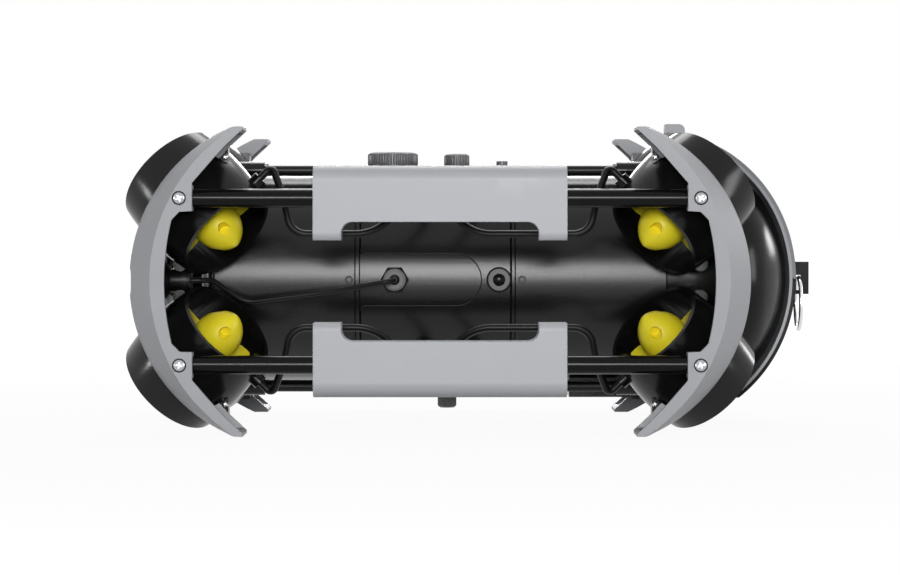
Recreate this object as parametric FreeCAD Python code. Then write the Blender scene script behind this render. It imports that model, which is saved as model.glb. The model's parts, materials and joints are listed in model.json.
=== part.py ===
import FreeCAD, Part
import math
import os

Vector = FreeCAD.Vector

# Millimetres. X runs forward along the hull, Y to port, Z up.
# Inside this file X = 0 is midway between the front and rear guards and the hull axis is Y = Z = 0.
# The finished solids are moved so that the origin is the middle of the base of the bounding box.
ORIGIN = Vector(0, 0, 0)
X_AXIS = Vector(1, 0, 0)
Y_AXIS = Vector(0, 1, 0)
Z_AXIS = Vector(0, 0, 1)
FAR = 400.0
FIT = 0.3
SHAFT_FIT = 0.05

# Pressure hull
hull_radius = 58.5
hull_wall = 3.0
hull_front = 125.9
front_seam = 44.7
rear_seam = -39.2
hull_rear = -125.9
seam_chamfer = 0.6
sleeve_length = 16.0
sleeve_wall = 3.2
seal_width = 2.6
seal_depth = 1.6
seal_inset = 3.0
top_boss_height = 1.6

# Side panel, gland and plug
panel_rear = -22.8
panel_half_height = 14.4
panel_depth = 0.8
gland_x = 25.4
gland_nut_across = 13.6
gland_nut_height = 5.0
gland_ring_radius = 5.3
gland_ring_height = 2.4
gland_skirt = 3.0
plug_seat = 1.0
plug_x = -32.5
plug_radius = 7.0
plug_height = 1.6
plug_screw_radius = 3.4
plug_screw_height = 2.6
plug_socket_radius = 1.7
plug_socket_depth = 1.8

# Thruster cable glands on the hull, placed by their angle above the side
cable_gland_angle = 41.0
cable_gland_radius = 4.6
cable_gland_height = 8.0
front_gland_x = 9.0
rear_gland_x = -18.0

# Camera end
nose_thickness = 7.1
nose_round = 9.5
nose_face_radius = hull_radius - nose_round
nose_bulge = 2.2
camera_bore = 20.0
bezel_outer = 36.0
bezel_inner = 27.0
bezel_length = 8.0
bezel_chamfer = 1.5
dome_radius = 30.0
dome_wall = 2.5
dome_seat_depth = 3.0
dome_rise = 12.6
camera_radius = 16.0
camera_snout_radius = 14.0
camera_length = 20.0
camera_collar_step = 2.0
lens_radius = 9.0
lens_length = 5.0

# Tail bowl, its strap, tow eye and latch
bowl_lip = 0.9
bowl_radius = hull_radius + bowl_lip
bowl_wall = 3.0
bowl_corner = 30.0
cap_swell = 20.4
cap_radius = bowl_radius + cap_swell
cap_centre_step = 8.3
cap_centre_x = hull_rear + cap_centre_step
strap_gap = 0.4
pad_thickness = 1.8
strap_thickness = 2.0
strap_half_width = 20.0
strap_end_half_width = 34.0
strap_end_height = 72.0
strap_top_run = 23.2
strap_top_x = cap_centre_x - strap_top_run
pad_edge = 0.6
hinge_run = 42.4
hinge_x = cap_centre_x - hinge_run
hinge_drop = 7.6
hinge_z = -(bowl_radius + hinge_drop)
hinge_pin_radius = 1.8
hinge_barrel_radius = 3.6
hinge_barrel_half = 9.0
hinge_ear_width = 4.0
eye_reach = 9.2
eye_base = 2.1
eye_top = 9.4
eye_bottom = -9.1
eye_width = 5.0
eye_leg = 4.3
eye_bar = 7.6
eye_sill = 2.2
ring_radius = 14.8
ring_wire = 1.2
latch_run = 10.8
latch_front_x = cap_centre_x - latch_run
latch_length = 10.9
latch_rise = 17.9
latch_base = hull_radius + latch_rise
latch_height = 11.6
latch_top = latch_base + latch_height
latch_half_width = 9.0
latch_pin_radius = 1.5
latch_pin_inset = 3.2
latch_pin_rise = 3.4
latch_ear_width = 3.0
latch_ear_half_length = 4.5
latch_ear_wall = 1.6
latch_round = 3.5
latch_chamfer = 2.0
latch_floor_rise = 2.4
latch_floor_z = hull_radius + latch_floor_rise
latch_floor_thickness = 3.6

# Tie rods and rails. What hangs at the two ends of the vehicle takes its place along X from the rails' ends
tie_radius = 2.85
tie_y = 20.0
tie_rise = 2.8
tie_z = hull_radius + tie_rise
rail_radius = 5.0
rail_spread = 66.5
rail_y = hull_radius + rail_spread
rail_z = 44.5
rail_half_length = 140.0
rail_to_face = 8.5

# Frames that hold the ducts to the hull
frame_inset = 34.0
frame_start = rail_half_length - frame_inset
frame_length = 15.0
frame_thickness = 3.2
frame_angle = 24.0
saddle_step = 3.0
saddle_start = frame_start + saddle_step
saddle_angle = 30.0
saddle_half_width = 7.0
saddle_reach = 14.0
saddle_overlap = 1.0
rod_boss_radius = 4.8
rod_boss_step = 6.4
rod_boss_start = frame_start - rod_boss_step
keel_length = 87.0
keel_front = hinge_x + keel_length
keel_half_width = 15.0
keel_depth = 9.0
keel_overlap = 3.0
keel_slot_clearance = 2.0
bowl_clearance = 1.0

# Grip covers
cover_half_length = 67.7
cover_top = 61.8
cover_bottom = 31.8
cover_foot_bottom = 22.0
cover_foot_length = 15.0
cover_face_y = rail_y + rail_to_face
cover_depth = 22.0
cover_wall = 2.8
cover_top_round = 8.0
cover_low_round = 5.0
cover_inner_corner = 6.0

# Guards
guard_face_y = rail_y + rail_to_face
guard_shoulder_inset = 10.0
guard_shoulder_y = rail_y - guard_shoulder_inset
guard_arm_inset = 27.0
guard_arm_y = rail_y - guard_arm_inset
guard_cheek_rise = 7.5
guard_cheek_y = hull_radius + guard_cheek_rise
guard_wall = 3.0
guard_radius = 90.0
guard_centre_inset = 63.0
guard_centre_x = rail_half_length - guard_centre_inset
guard_face_radius = 97.7
guard_face_inset = 83.3
guard_face_centre_x = rail_half_length - guard_face_inset
guard_tip_z = 82.5
guard_tip_inset = 35.0
guard_tip_x = rail_half_length - guard_tip_inset
cheek_half_height = 24.0
web_thickness = 2.5
web_start_z = 58.0
boss_radius = 7.0
boss_length = 8.1
boss_start = rail_half_length - boss_length
rail_screw_inset = 1.3
rail_screw_x = rail_half_length - rail_screw_inset
rail_screw_head = 3.6
rail_screw_dome = 1.7
rail_screw_shank = 1.6
dimple_radius = 20.0
dimple_depth = 1.6
window_top_z = 81.0
window_shoulder_inset = 25.7
window_shoulder_z = 72.4
window_arm_inset = 19.3
window_arm_z = 65.4
window_boss_top = 52.5
window_boss_foot = 37.6
window_step_inset = 1.4
window_step_z = 37.2
window_side_run = 2.8
window_side_z = 32.9
window_waist_run = 6.8

# Thrusters: the axis leans outwards at both angles, from the mouth near the middle to the outer rim
thruster_toe = 25.0
thruster_lift = 45.0
mouth_inset = 23.8
mouth_gap = 37.8
mouth_angle = 15.05
duct_length = 50.4
duct_wall = 2.4
duct_mouth_radius = 28.5
duct_waist_radius = 32.2
duct_rim_radius = 30.7
duct_clearance = 1.2
lug_run = 1.8
lug_x = rail_half_length + lug_run
lug_z = 9.0
lug_radius = 3.9
lug_rise = 23.5
lug_start_y = hull_radius + lug_rise
lug_length = 10.0
lug_end_y = lug_start_y + lug_length
motor_front = 23.4
motor_length = 23.0
motor_radius = 13.1
sleeve_start = 27.0
sleeve_end = 43.0
motor_sleeve_wall = 1.8
motor_chamfer = 4.0
strut_thickness = 2.2
strut_count = 3
strut_inset = 2.0
shaft_radius = 2.5
shaft_tip = 11.0
hub_apex = -9.0
hub_end = 23.0
hub_radius = 12.9
hub_shoulder = 12.0
hub_blunt = 1.3
hub_tip_flat = 0.3
hub_curve_back = 5.2
hub_curve_share = 0.62
hub_hole_radius = 3.2
hub_hole_back = 7.8
hub_hole_depth = 5.0
hub_hole_turn = 11.0
hub_hole_count = 3
hub_hole_share = 0.8
hub_root = 3.0
blade_count = 3
blade_middle = 16.0
blade_tip_radius = 26.6
root_chord = 15.0
middle_chord = 18.0
tip_chord = 15.0
root_pitch = 52.0
middle_pitch = 36.0
tip_pitch = 26.0
root_thickness = 2.6
middle_thickness = 2.0
tip_thickness = 1.3
blade_camber = 0.9
cable_boss_back = 10.0
cable_boss_radius = 4.0
cable_boss_height = 5.0
cable_boss_base = 1.2
block_inset = 25.0
block_start_x = rail_half_length - block_inset
block_length = 10.0
block_end_x = block_start_x + block_length
block_depth = 12.0
block_start_y = guard_arm_y - block_depth
block_low_z = 62.0
block_high_z = 74.0

# Lamps
lamp_spread = 27.5
lamp_y = hull_radius + lamp_spread
lamp_inset = 4.0
lamp_neck_start = rail_half_length - lamp_inset
lamp_neck_run = 2.0
lamp_flange_start = lamp_neck_start + lamp_neck_run
lamp_flange_length = 3.0
lamp_flange_end = lamp_flange_start + lamp_flange_length
lamp_flange_radius = 8.0
lamp_neck_radius = 6.4
lamp_head_reach = 15.0
lamp_head_start = lamp_neck_start + lamp_head_reach
lamp_head_length = 17.0
lamp_head_end = lamp_head_start + lamp_head_length
lamp_head_radius = 11.5
lamp_lens_radius = 9.0
lamp_lens_depth = 2.5
lamp_edge = 1.0
lamp_cone_length = 4.0
lamp_cable_radius = 1.5
lamp_cable_rise = 11.0
lamp_cable_lead = 1.5
lamp_cable_drop = 0.4
lamp_cable_sag_run = 34.0
lamp_cable_sag_gap = 9.1
lamp_cable_sag_drop = 6.4
lamp_cable_low_inset = 32.0
lamp_cable_low_gap = 5.1
lamp_cable_low_drop = 12.6
lamp_cable_lift_run = 10.0
lamp_cable_lift_gap = 2.9
lamp_cable_lift_drop = 6.0
lamp_cable_turn_run = 17.0
lamp_cable_turn_inset = 9.0
lamp_cable_end_run = 6.0

# Thruster cables
cable_radius = 2.0
cable_inset = 25.0
cable_y = rail_y - cable_inset
cable_level_z = 25.4
cable_exit_length = 9.0
cable_gland_run = 17.0
cable_drop_z = 44.0
cable_turn_x = 84.5
cable_turn_run = 3.5
cable_bend_inset = 3.0
front_level_end = 37.0
front_rise_x = 23.0
rear_level_end = -19.0
rear_rise_x = -5.0
cable_rise_step = 12.0
cable_rise_inset = 6.0

# Caps on top and the knob below
big_cap_x = 27.4
big_cap_radius = 14.45
big_cap_rise = 13.4
big_cap_top = hull_radius + big_cap_rise
big_cap_ribs = 28
small_cap_x = -9.2
small_cap_radius = 7.35
small_cap_rise = 12.6
small_cap_top = hull_radius + small_cap_rise
small_cap_ribs = 18
rib_depth = 0.7
cap_well_depth = 1.2
cap_well_share = 0.62
vent_x = -35.1
vent_radius = 3.2
vent_base_radius = 5.5
vent_shoulder = 2.6
vent_rise = 8.5
vent_top = hull_radius + vent_rise
vent_skirt = 2.0
knob_x = -3.6
knob_radius = 5.5
knob_drop = 15.7
knob_bottom = -(hull_radius + knob_drop)
knob_ribs = 14

# Inside the hull
tray_half_width = 44.0
tray_thickness = 2.0
tray_disc_thickness = 3.0
tray_post_inset = 12.0
board_half_width = 38.0
board_thickness = 1.6
board_end_margin = 4.0
board_post_inset = 5.0
chip_length = 14.0
chip_half_width = 8.0
chip_height = 6.0
standoff_height = 5.0
standoff_radius = 2.5
battery_cell_radius = 10.5
battery_ring_cells = 6
battery_cell_gap = 3.0
battery_disc_thickness = 4.0

# The thruster axis and the two directions across it
toe = math.radians(thruster_toe)
lift = math.radians(thruster_lift)
thruster_axis = Vector(math.cos(toe) * math.cos(lift), -math.sin(toe), math.cos(toe) * math.sin(lift))
thruster_side = Vector(math.sin(toe) * math.cos(lift), math.cos(toe), math.sin(toe) * math.sin(lift))
thruster_over = thruster_axis.cross(thruster_side)
mouth_side = math.radians(mouth_angle)
mouth = Vector(rail_half_length - mouth_inset, (hull_radius + mouth_gap) * math.cos(mouth_side),
               (hull_radius + mouth_gap) * math.sin(mouth_side))

pad_inner = cap_radius + strap_gap
strap_inner = pad_inner + pad_thickness
strap_outer = strap_inner + strap_thickness
strap_rear_x = cap_centre_x - strap_outer

# The origin: half way between the front duct rims and the tow eye, at the height of the guard tips
rim_reach = duct_rim_radius * math.sqrt(1.0 - thruster_axis.x ** 2)
front_reach = mouth.x + duct_length * thruster_axis.x + rim_reach
tail_reach = strap_rear_x - eye_reach
TO_ORIGIN = Vector(-(front_reach + tail_reach) / 2, 0, guard_tip_z)

CORNERS = [(end, side, level) for end in ("front", "rear") for side in ("port", "starboard")
           for level in ("upper", "lower")]


def line(start, end):
    return Part.LineSegment(start, end).toShape()


def arc(start, middle, end):
    return Part.Arc(start, middle, end).toShape()


def polar(centre, radius, angle):
    """A point in the XZ plane at an angle in radians from +X."""
    return centre + Vector(radius * math.cos(angle), 0, radius * math.sin(angle))


def box(x_range, y_range, z_range):
    size = [abs(span[1] - span[0]) for span in (x_range, y_range, z_range)]
    corner = Vector(min(x_range), min(y_range), min(z_range))
    return Part.makeBox(size[0], size[1], size[2], corner)


def rod(radius, start, end):
    """A round bar from one point to another."""
    return Part.makeCylinder(radius, (end - start).Length, start, end - start)


def ring(outer, inner, start, end):
    """A round sleeve from one point to another."""
    return rod(outer, start, end).cut(rod(inner, start, end))


def face_of(edges):
    return Part.Face(Part.Wire(edges))


def turned(points):
    """A solid of revolution about X from a closed outline of (x, radius) points and arcs.

    An arc is written as a pair of points: the one it passes through and the one it ends at.
    """
    edges = []
    first = Vector(points[0][0], 0, points[0][1])
    here = first
    for step in points[1:] + [points[0]]:
        if isinstance(step[0], tuple):
            middle = Vector(step[0][0], 0, step[0][1])
            end = Vector(step[1][0], 0, step[1][1])
            edges.append(arc(here, middle, end))
        else:
            end = Vector(step[0], 0, step[1])
            if end.distanceToPoint(here) < 1e-6:
                continue
            edges.append(line(here, end))
        here = end
    return face_of(edges).revolve(ORIGIN, X_AXIS, 360)


def corner_copy(shape, end="front", side="port", level="upper"):
    """The same piece mirrored from the front port upper corner to another one."""
    copy = shape
    if end == "rear":
        copy = copy.mirror(ORIGIN, X_AXIS)
    if side == "starboard":
        copy = copy.mirror(ORIGIN, Y_AXIS)
    if level == "lower":
        copy = copy.mirror(ORIGIN, Z_AXIS)
    return copy


def fused(shapes):
    whole = shapes[0]
    for shape in shapes[1:]:
        whole = whole.fuse(shape)
    return whole.removeSplitter()


def tube_along(points, radius):
    """A cable: straight runs joined by tangent arcs, each as large as its two runs allow."""
    points = [Vector(*point) for point in points]
    edges = []
    here = points[0]
    for before, corner, after in zip(points, points[1:], points[2:]):
        back = (before - corner).normalize()
        ahead = (after - corner).normalize()
        turn = math.pi - math.acos(max(-1.0, min(1.0, back.dot(ahead))))
        trim = 0.45 * min((before - corner).Length, (after - corner).Length)
        bend = trim / math.tan(turn / 2)
        start = corner + back * trim
        end = corner + ahead * trim
        inward = (back + ahead).normalize()
        middle = corner + inward * (bend / math.cos(turn / 2) - bend)
        edges.append(line(here, start))
        edges.append(arc(start, middle, end))
        here = end
    edges.append(line(here, points[-1]))
    path = Part.Wire(edges)
    first = (points[1] - points[0]).normalize()
    section = Part.Wire([Part.Circle(points[0], first, radius).toShape()])
    tube = path.makePipeShell([section], True, False, 2)
    area = math.pi * radius ** 2
    print("cable %.0f mm, volume ratio %.4f" % (path.Length, tube.Volume / (area * path.Length)))
    return tube


def ribbed_disc(radius, ribs, depth, start, height, direction):
    """A knurled knob: a disc with straight V ribs round its edge."""
    corners = []
    for count in range(2 * ribs):
        angle = math.pi * count / ribs
        reach = radius if count % 2 else radius - depth
        corners.append(Vector(reach * math.cos(angle), reach * math.sin(angle), 0))
    disc = Part.Face(Part.makePolygon(corners + corners[:1])).extrude(Vector(0, 0, height))
    if direction < 0:
        disc = disc.mirror(ORIGIN, Z_AXIS)
    disc.translate(start)
    return disc


def dome_arc(base_x, base_radius, rise):
    """A round cap on the axis of a turned outline: its middle point and its tip."""
    sphere = (base_radius ** 2 + rise ** 2) / (2 * rise)
    centre_x = base_x + rise - sphere
    half_angle = math.asin(base_radius / sphere) / 2
    middle = (centre_x + sphere * math.cos(half_angle), sphere * math.sin(half_angle))
    return middle, (base_x + rise, 0)


def hull_section(start, end):
    """One length of the pressure hull with a small chamfer at each seam."""
    inner = hull_radius - hull_wall
    return turned([
        (start, inner), (end, inner), (end, hull_radius - seam_chamfer),
        (end - seam_chamfer, hull_radius), (start + seam_chamfer, hull_radius),
        (start, hull_radius - seam_chamfer),
    ])


def side_panel_cut():
    """The long pill-shaped recess round the gland, open at the front seam."""
    half = panel_half_height
    nose = panel_rear + half
    corners = [
        line(Vector(front_seam, 0, -half), Vector(nose, 0, -half)),
        arc(Vector(nose, 0, -half), Vector(panel_rear, 0, 0), Vector(nose, 0, half)),
        line(Vector(nose, 0, half), Vector(front_seam, 0, half)),
        line(Vector(front_seam, 0, half), Vector(front_seam, 0, -half)),
    ]
    pill = face_of(corners).extrude(Vector(0, FAR, 0))
    skin = ring(hull_radius + FIT, hull_radius - panel_depth, Vector(-FAR, 0, 0), Vector(FAR, 0, 0))
    return pill.common(skin)


def cable_gland_direction():
    angle = math.radians(cable_gland_angle)
    return Vector(0, math.cos(angle), math.sin(angle))


def cable_gland_mouth(x):
    return Vector(x, 0, 0) + cable_gland_direction() * (hull_radius + cable_gland_height)


def hull_cable_gland(x):
    outward = cable_gland_direction()
    foot = Vector(x, 0, 0) + outward * (hull_radius - hull_wall / 2)
    return rod(cable_gland_radius, foot, cable_gland_mouth(x))


def top_boss(x, radius):
    return rod(radius, Vector(x, 0, hull_radius - hull_wall / 2), Vector(x, 0, hull_radius + top_boss_height))


def make_mid_hull():
    body = hull_section(rear_seam, front_seam)
    bosses = [top_boss(big_cap_x, big_cap_radius - rib_depth), top_boss(small_cap_x, small_cap_radius - rib_depth)]
    bosses.append(top_boss(knob_x, knob_radius - rib_depth).mirror(ORIGIN, Z_AXIS))
    for x in (front_gland_x, rear_gland_x):
        for side in ("port", "starboard"):
            for level in ("upper", "lower"):
                bosses.append(corner_copy(hull_cable_gland(x), "front", side, level))
    body = fused([body] + bosses)
    inside = rod(hull_radius - hull_wall, Vector(rear_seam, 0, 0), Vector(front_seam, 0, 0))
    body = body.cut(inside)
    panel = side_panel_cut()
    body = body.cut(panel).cut(panel.mirror(ORIGIN, Y_AXIS))
    vent_seat = rod(vent_radius, Vector(vent_x, 0, 0), Vector(vent_x, 0, FAR))
    return body.cut(vent_seat)


def make_joint_sleeves():
    """The inner sleeves that join the hull sections, with a groove for each seal."""
    outer = hull_radius - hull_wall
    inner = outer - sleeve_wall
    sleeves = []
    for seam in (front_seam, rear_seam):
        start = seam - sleeve_length / 2
        end = seam + sleeve_length / 2
        body = turned([(start, inner), (end, inner), (end, outer), (start, outer)])
        for edge in (start + seal_inset, end - seal_inset - seal_width):
            body = body.cut(turned(seal_outline(edge)))
        sleeves.append(body)
    return sleeves


def seal_outline(start):
    outer = hull_radius - hull_wall
    end = start + seal_width
    return [(start, outer - seal_depth), (end, outer - seal_depth), (end, outer), (start, outer)]


def make_hull_seals():
    seals = []
    for seam in (front_seam, rear_seam):
        for edge in (seam - sleeve_length / 2 + seal_inset, seam + sleeve_length / 2 - seal_inset - seal_width):
            seals.append(turned(seal_outline(edge)))
    return seals


def make_nose():
    """The front end cap with a rounded edge and a bore for the camera."""
    face = hull_front + nose_thickness
    middle_radius = (hull_radius + nose_face_radius) / 2 + nose_bulge
    return turned([
        (hull_front, camera_bore), (face, camera_bore), (face, nose_face_radius),
        ((face - nose_thickness / 3, middle_radius), (hull_front + seam_chamfer, hull_radius)),
        (hull_front, hull_radius - seam_chamfer),
    ])


def make_bezel():
    face = hull_front + nose_thickness
    end = face + bezel_length
    step = end - dome_seat_depth
    return turned([
        (face, bezel_inner), (step, bezel_inner), (step, dome_radius), (end, dome_radius),
        (end, bezel_outer - bezel_chamfer), (end - bezel_chamfer, bezel_outer), (face, bezel_outer),
    ])


def make_dome():
    """A shallow glass dome that seats in the bezel."""
    edge = hull_front + nose_thickness + bezel_length
    seat = edge - dome_seat_depth
    inside = dome_radius - dome_wall
    outer = turned([(seat, 0), (seat, dome_radius), (edge, dome_radius), dome_arc(edge, dome_radius, dome_rise)])
    inner_edge = edge - dome_wall / 4
    return outer.cut(turned([
        (seat - 1, 0), (seat - 1, inside), (inner_edge, inside), dome_arc(inner_edge, inside, dome_rise - dome_wall),
    ]))


def camera_face():
    return hull_front + nose_thickness + bezel_length - dome_seat_depth


def make_camera():
    """The camera: a rear barrel, a collar that fits the nose bore, and a snout that holds the lens."""
    face = camera_face()
    collar_end = hull_front + nose_thickness
    seat = face - lens_length / 2
    return turned([
        (face - camera_length, 0), (face - camera_length, camera_radius), (hull_front, camera_radius),
        (hull_front, camera_bore), (collar_end, camera_bore), (collar_end, camera_snout_radius + camera_collar_step),
        (face, camera_snout_radius), (face, lens_radius), (seat, lens_radius), (seat, 0),
    ])


def make_lens():
    face = camera_face()
    seat = face - lens_length / 2
    return turned([(seat, 0), (seat, lens_radius), (face, lens_radius), dome_arc(face, lens_radius, lens_length / 2)])


def make_tray():
    """The carrier inside the middle section: two end discs joined by a plate with standoffs."""
    disc_radius = hull_radius - hull_wall
    front = front_seam - sleeve_length / 2 - FIT
    rear = rear_seam + sleeve_length / 2 + FIT
    discs = [
        rod(disc_radius, Vector(front - tray_disc_thickness, 0, 0), Vector(front, 0, 0)),
        rod(disc_radius, Vector(rear, 0, 0), Vector(rear + tray_disc_thickness, 0, 0)),
    ]
    plate = box((rear, front), (-tray_half_width, tray_half_width), (-tray_thickness, 0))
    posts = [rod(standoff_radius, Vector(x, y, -tray_thickness), Vector(x, y, standoff_height))
             for x in board_posts() for y in (board_post_inset - board_half_width, board_half_width - board_post_inset)]
    return fused(discs + [plate] + posts)


def board_posts():
    return (rear_seam + sleeve_length / 2 + tray_post_inset, front_seam - sleeve_length / 2 - tray_post_inset)


def make_board():
    start, end = board_posts()
    top = standoff_height + board_thickness
    board = box((start - board_end_margin, end + board_end_margin), (-board_half_width, board_half_width),
                (standoff_height, top))
    middle = (start + end) / 2
    chips = [box((x, x + chip_length), (-chip_half_width, chip_half_width), (standoff_height, top + chip_height))
             for x in (middle - 1.5 * chip_length, middle + chip_length / 2)]
    return fused([board] + chips)


def make_battery():
    """Seven round cells in a tray, in the rear section, carried by the bowl."""
    start = hull_rear
    end = rear_seam - sleeve_length / 2 - FIT
    inner = hull_radius - hull_wall - FIT
    pitch = 2 * battery_cell_radius + battery_cell_gap
    cells = [rod(battery_cell_radius, Vector(start, 0, 0), Vector(end, 0, 0))]
    for count in range(battery_ring_cells):
        angle = 2 * math.pi * count / battery_ring_cells
        y = pitch * math.cos(angle)
        z = pitch * math.sin(angle)
        cells.append(rod(battery_cell_radius, Vector(start, y, z), Vector(end, y, z)))
    discs = [rod(inner, Vector(x, 0, 0), Vector(x + battery_disc_thickness, 0, 0))
             for x in (start, end - battery_disc_thickness)]
    return fused(discs + cells)


def bowl_outline(radius, corner, cap):
    """Half outline of the bowl from the hull joint to the axis: wall, round corner and cap."""
    inset = cap - corner
    corner_r = radius - corner
    corner_x = cap_centre_x - math.sqrt(inset ** 2 - corner_r ** 2)
    share = cap / inset
    cap_start = (cap_centre_x + (corner_x - cap_centre_x) * share, corner_r * share)
    half_angle = (math.pi / 2 + math.atan2(cap_start[1] - corner_r, corner_x - cap_start[0])) / 2
    bulge = (corner_x - corner * math.cos(half_angle), corner_r + corner * math.sin(half_angle))
    cap_angle = math.asin(cap_start[1] / cap) / 2
    cap_middle = (cap_centre_x - cap * math.cos(cap_angle), cap * math.sin(cap_angle))
    return [(corner_x, radius), (bulge, cap_start), (cap_middle, (cap_centre_x - cap, 0))]


def make_bowl():
    outer = turned([(hull_rear, 0), (hull_rear, bowl_radius)] + bowl_outline(bowl_radius, bowl_corner, cap_radius))
    inner = turned([(hull_rear - bowl_wall, 0), (hull_rear - bowl_wall, bowl_radius - bowl_wall)]
                   + bowl_outline(bowl_radius - bowl_wall, bowl_corner - bowl_wall, cap_radius - bowl_wall))
    return outer.cut(inner)


def strap_layer(inner, outer, extra):
    """One layer of the strap: an arc band over the bowl, narrow at the middle and wide at its ends."""
    centre = Vector(cap_centre_x, -FAR / 2, 0)
    band = rod(outer, centre, centre + Vector(0, FAR, 0)).cut(rod(inner, centre, centre + Vector(0, FAR, 0)))
    band = band.common(box((-FAR, strap_top_x), (-FAR, FAR), (hinge_z, FAR)))
    band = band.cut(box((hinge_x, 0), (-FAR, FAR), (-FAR, 0)))
    middle = strap_half_width + extra
    end = strap_end_half_width + extra
    edges = [
        line(Vector(0, -end, strap_end_height), Vector(0, end, strap_end_height)),
        arc(Vector(0, end, strap_end_height), Vector(0, middle, 0), Vector(0, end, -strap_end_height)),
        line(Vector(0, end, -strap_end_height), Vector(0, -end, -strap_end_height)),
        arc(Vector(0, -end, -strap_end_height), Vector(0, -middle, 0), Vector(0, -end, strap_end_height)),
    ]
    planform = face_of(edges).extrude(Vector(-FAR, 0, 0))
    top = box((-FAR, 0), (-end, end), (strap_end_height, FAR))
    bottom = box((-FAR, 0), (-end, end), (-FAR, -strap_end_height))
    return band.common(fused([planform, top, bottom]))


def make_strap():
    """The tail strap with its hinge barrel below and the tow eye at its back."""
    band = strap_layer(strap_inner, strap_outer, 0)
    foot_end = cap_centre_x - math.sqrt(strap_outer ** 2 - hinge_z ** 2) + strap_thickness
    foot = box((foot_end, hinge_x), (-hinge_barrel_half, hinge_barrel_half), (hinge_z, hinge_z + strap_thickness))
    pivot = Vector(hinge_x, 0, hinge_z)
    half = Vector(0, hinge_barrel_half, 0)
    barrel = rod(hinge_barrel_radius, pivot - half, pivot + half)
    eye_root = strap_rear_x + strap_thickness
    eye = box((strap_rear_x - eye_reach, eye_root), (-eye_width / 2, eye_width / 2), (eye_bottom, eye_top))
    window = box((strap_rear_x - eye_reach + eye_leg, strap_rear_x - eye_base), (-eye_width, eye_width),
                 (eye_bottom + eye_sill, eye_top - eye_bar))
    body = fused([band, foot, barrel, eye.cut(window)])
    return body.cut(rod(hinge_pin_radius + SHAFT_FIT, pivot - half * 2, pivot + half * 2))


def make_strap_pad():
    """The pale liner under the strap, a little wider than the strap."""
    pad = strap_layer(pad_inner, strap_inner, pad_edge)
    return pad.cut(box((-FAR, FAR), (-FAR, FAR), (-FAR, hinge_z + strap_thickness)))


def make_hinge_pin():
    reach = Vector(0, hinge_barrel_half + hinge_ear_width + FIT, 0)
    pivot = Vector(hinge_x, 0, hinge_z)
    return rod(hinge_pin_radius, pivot - reach, pivot + reach)


def make_tow_ring():
    wire_x = strap_rear_x - (eye_base + eye_reach - eye_leg) / 2
    top = eye_top - eye_bar
    centre = Vector(wire_x, 0, top - FIT - ring_wire - ring_radius)
    return Part.makeTorus(ring_radius, ring_wire, centre, X_AXIS)


def latch_pivot():
    return Vector(latch_front_x - latch_pin_inset, 0, latch_base + latch_pin_rise)


def make_latch():
    """The pale latch lever, square at the front and rounded at the back of its top."""
    rear = latch_front_x - latch_length
    corner = Vector(rear + latch_round, 0, latch_top - latch_round)
    edges = [
        line(Vector(latch_front_x, 0, latch_base), Vector(latch_front_x, 0, latch_top)),
        line(Vector(latch_front_x, 0, latch_top), Vector(corner.x, 0, latch_top)),
        arc(Vector(corner.x, 0, latch_top), polar(corner, latch_round, math.radians(135)),
            Vector(rear, 0, corner.z)),
        line(Vector(rear, 0, corner.z), Vector(rear, 0, latch_base + latch_chamfer)),
        line(Vector(rear, 0, latch_base + latch_chamfer), Vector(rear + latch_chamfer, 0, latch_base)),
        line(Vector(rear + latch_chamfer, 0, latch_base), Vector(latch_front_x, 0, latch_base)),
    ]
    body = face_of(edges).extrude(Vector(0, 2 * latch_half_width, 0))
    body.translate(Vector(0, -latch_half_width, 0))
    across = Vector(0, 2 * latch_half_width, 0)
    return body.cut(rod(latch_pin_radius + SHAFT_FIT, latch_pivot() - across, latch_pivot() + across))


def frame_band():
    """A bridge over the hull from one upper duct to the other."""
    start = Vector(frame_start, 0, 0)
    end = Vector(frame_start + frame_length, 0, 0)
    whole = ring(hull_radius + frame_thickness, hull_radius, start, end)
    low = math.sin(math.radians(frame_angle)) * hull_radius
    return whole.common(box((0, FAR), (-FAR, FAR), (low, FAR)))


def saddle():
    """The block between the bridge and the duct, hollowed to the duct's barrel."""
    block = box((saddle_start, frame_start + frame_length), (hull_radius - saddle_overlap, hull_radius + saddle_reach),
                (-saddle_half_width, saddle_half_width))
    block.rotate(ORIGIN, X_AXIS, saddle_angle)
    return block.cut(rod(hull_radius, Vector(0, 0, 0), Vector(FAR, 0, 0)))


def make_frame():
    saddles = [saddle(), saddle().mirror(ORIGIN, Y_AXIS)]
    bosses = []
    for y in (-tie_y, tie_y):
        start = Vector(rod_boss_start, y, tie_z)
        bosses.append(rod(rod_boss_radius, start, Vector(frame_start + frame_length, y, tie_z)))
    body = fused([frame_band()] + saddles + bosses)
    body = body.cut(rod(hull_radius, Vector(0, 0, 0), Vector(FAR, 0, 0)))
    for side in ("port", "starboard"):
        body = body.cut(corner_copy(duct_outer(0), "front", side, "upper"))
    for y in (-tie_y, tie_y):
        start = Vector(0, y, tie_z)
        body = body.cut(rod(tie_radius, start, start + Vector(frame_start + frame_length / 2, 0, 0)))
    return body


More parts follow.
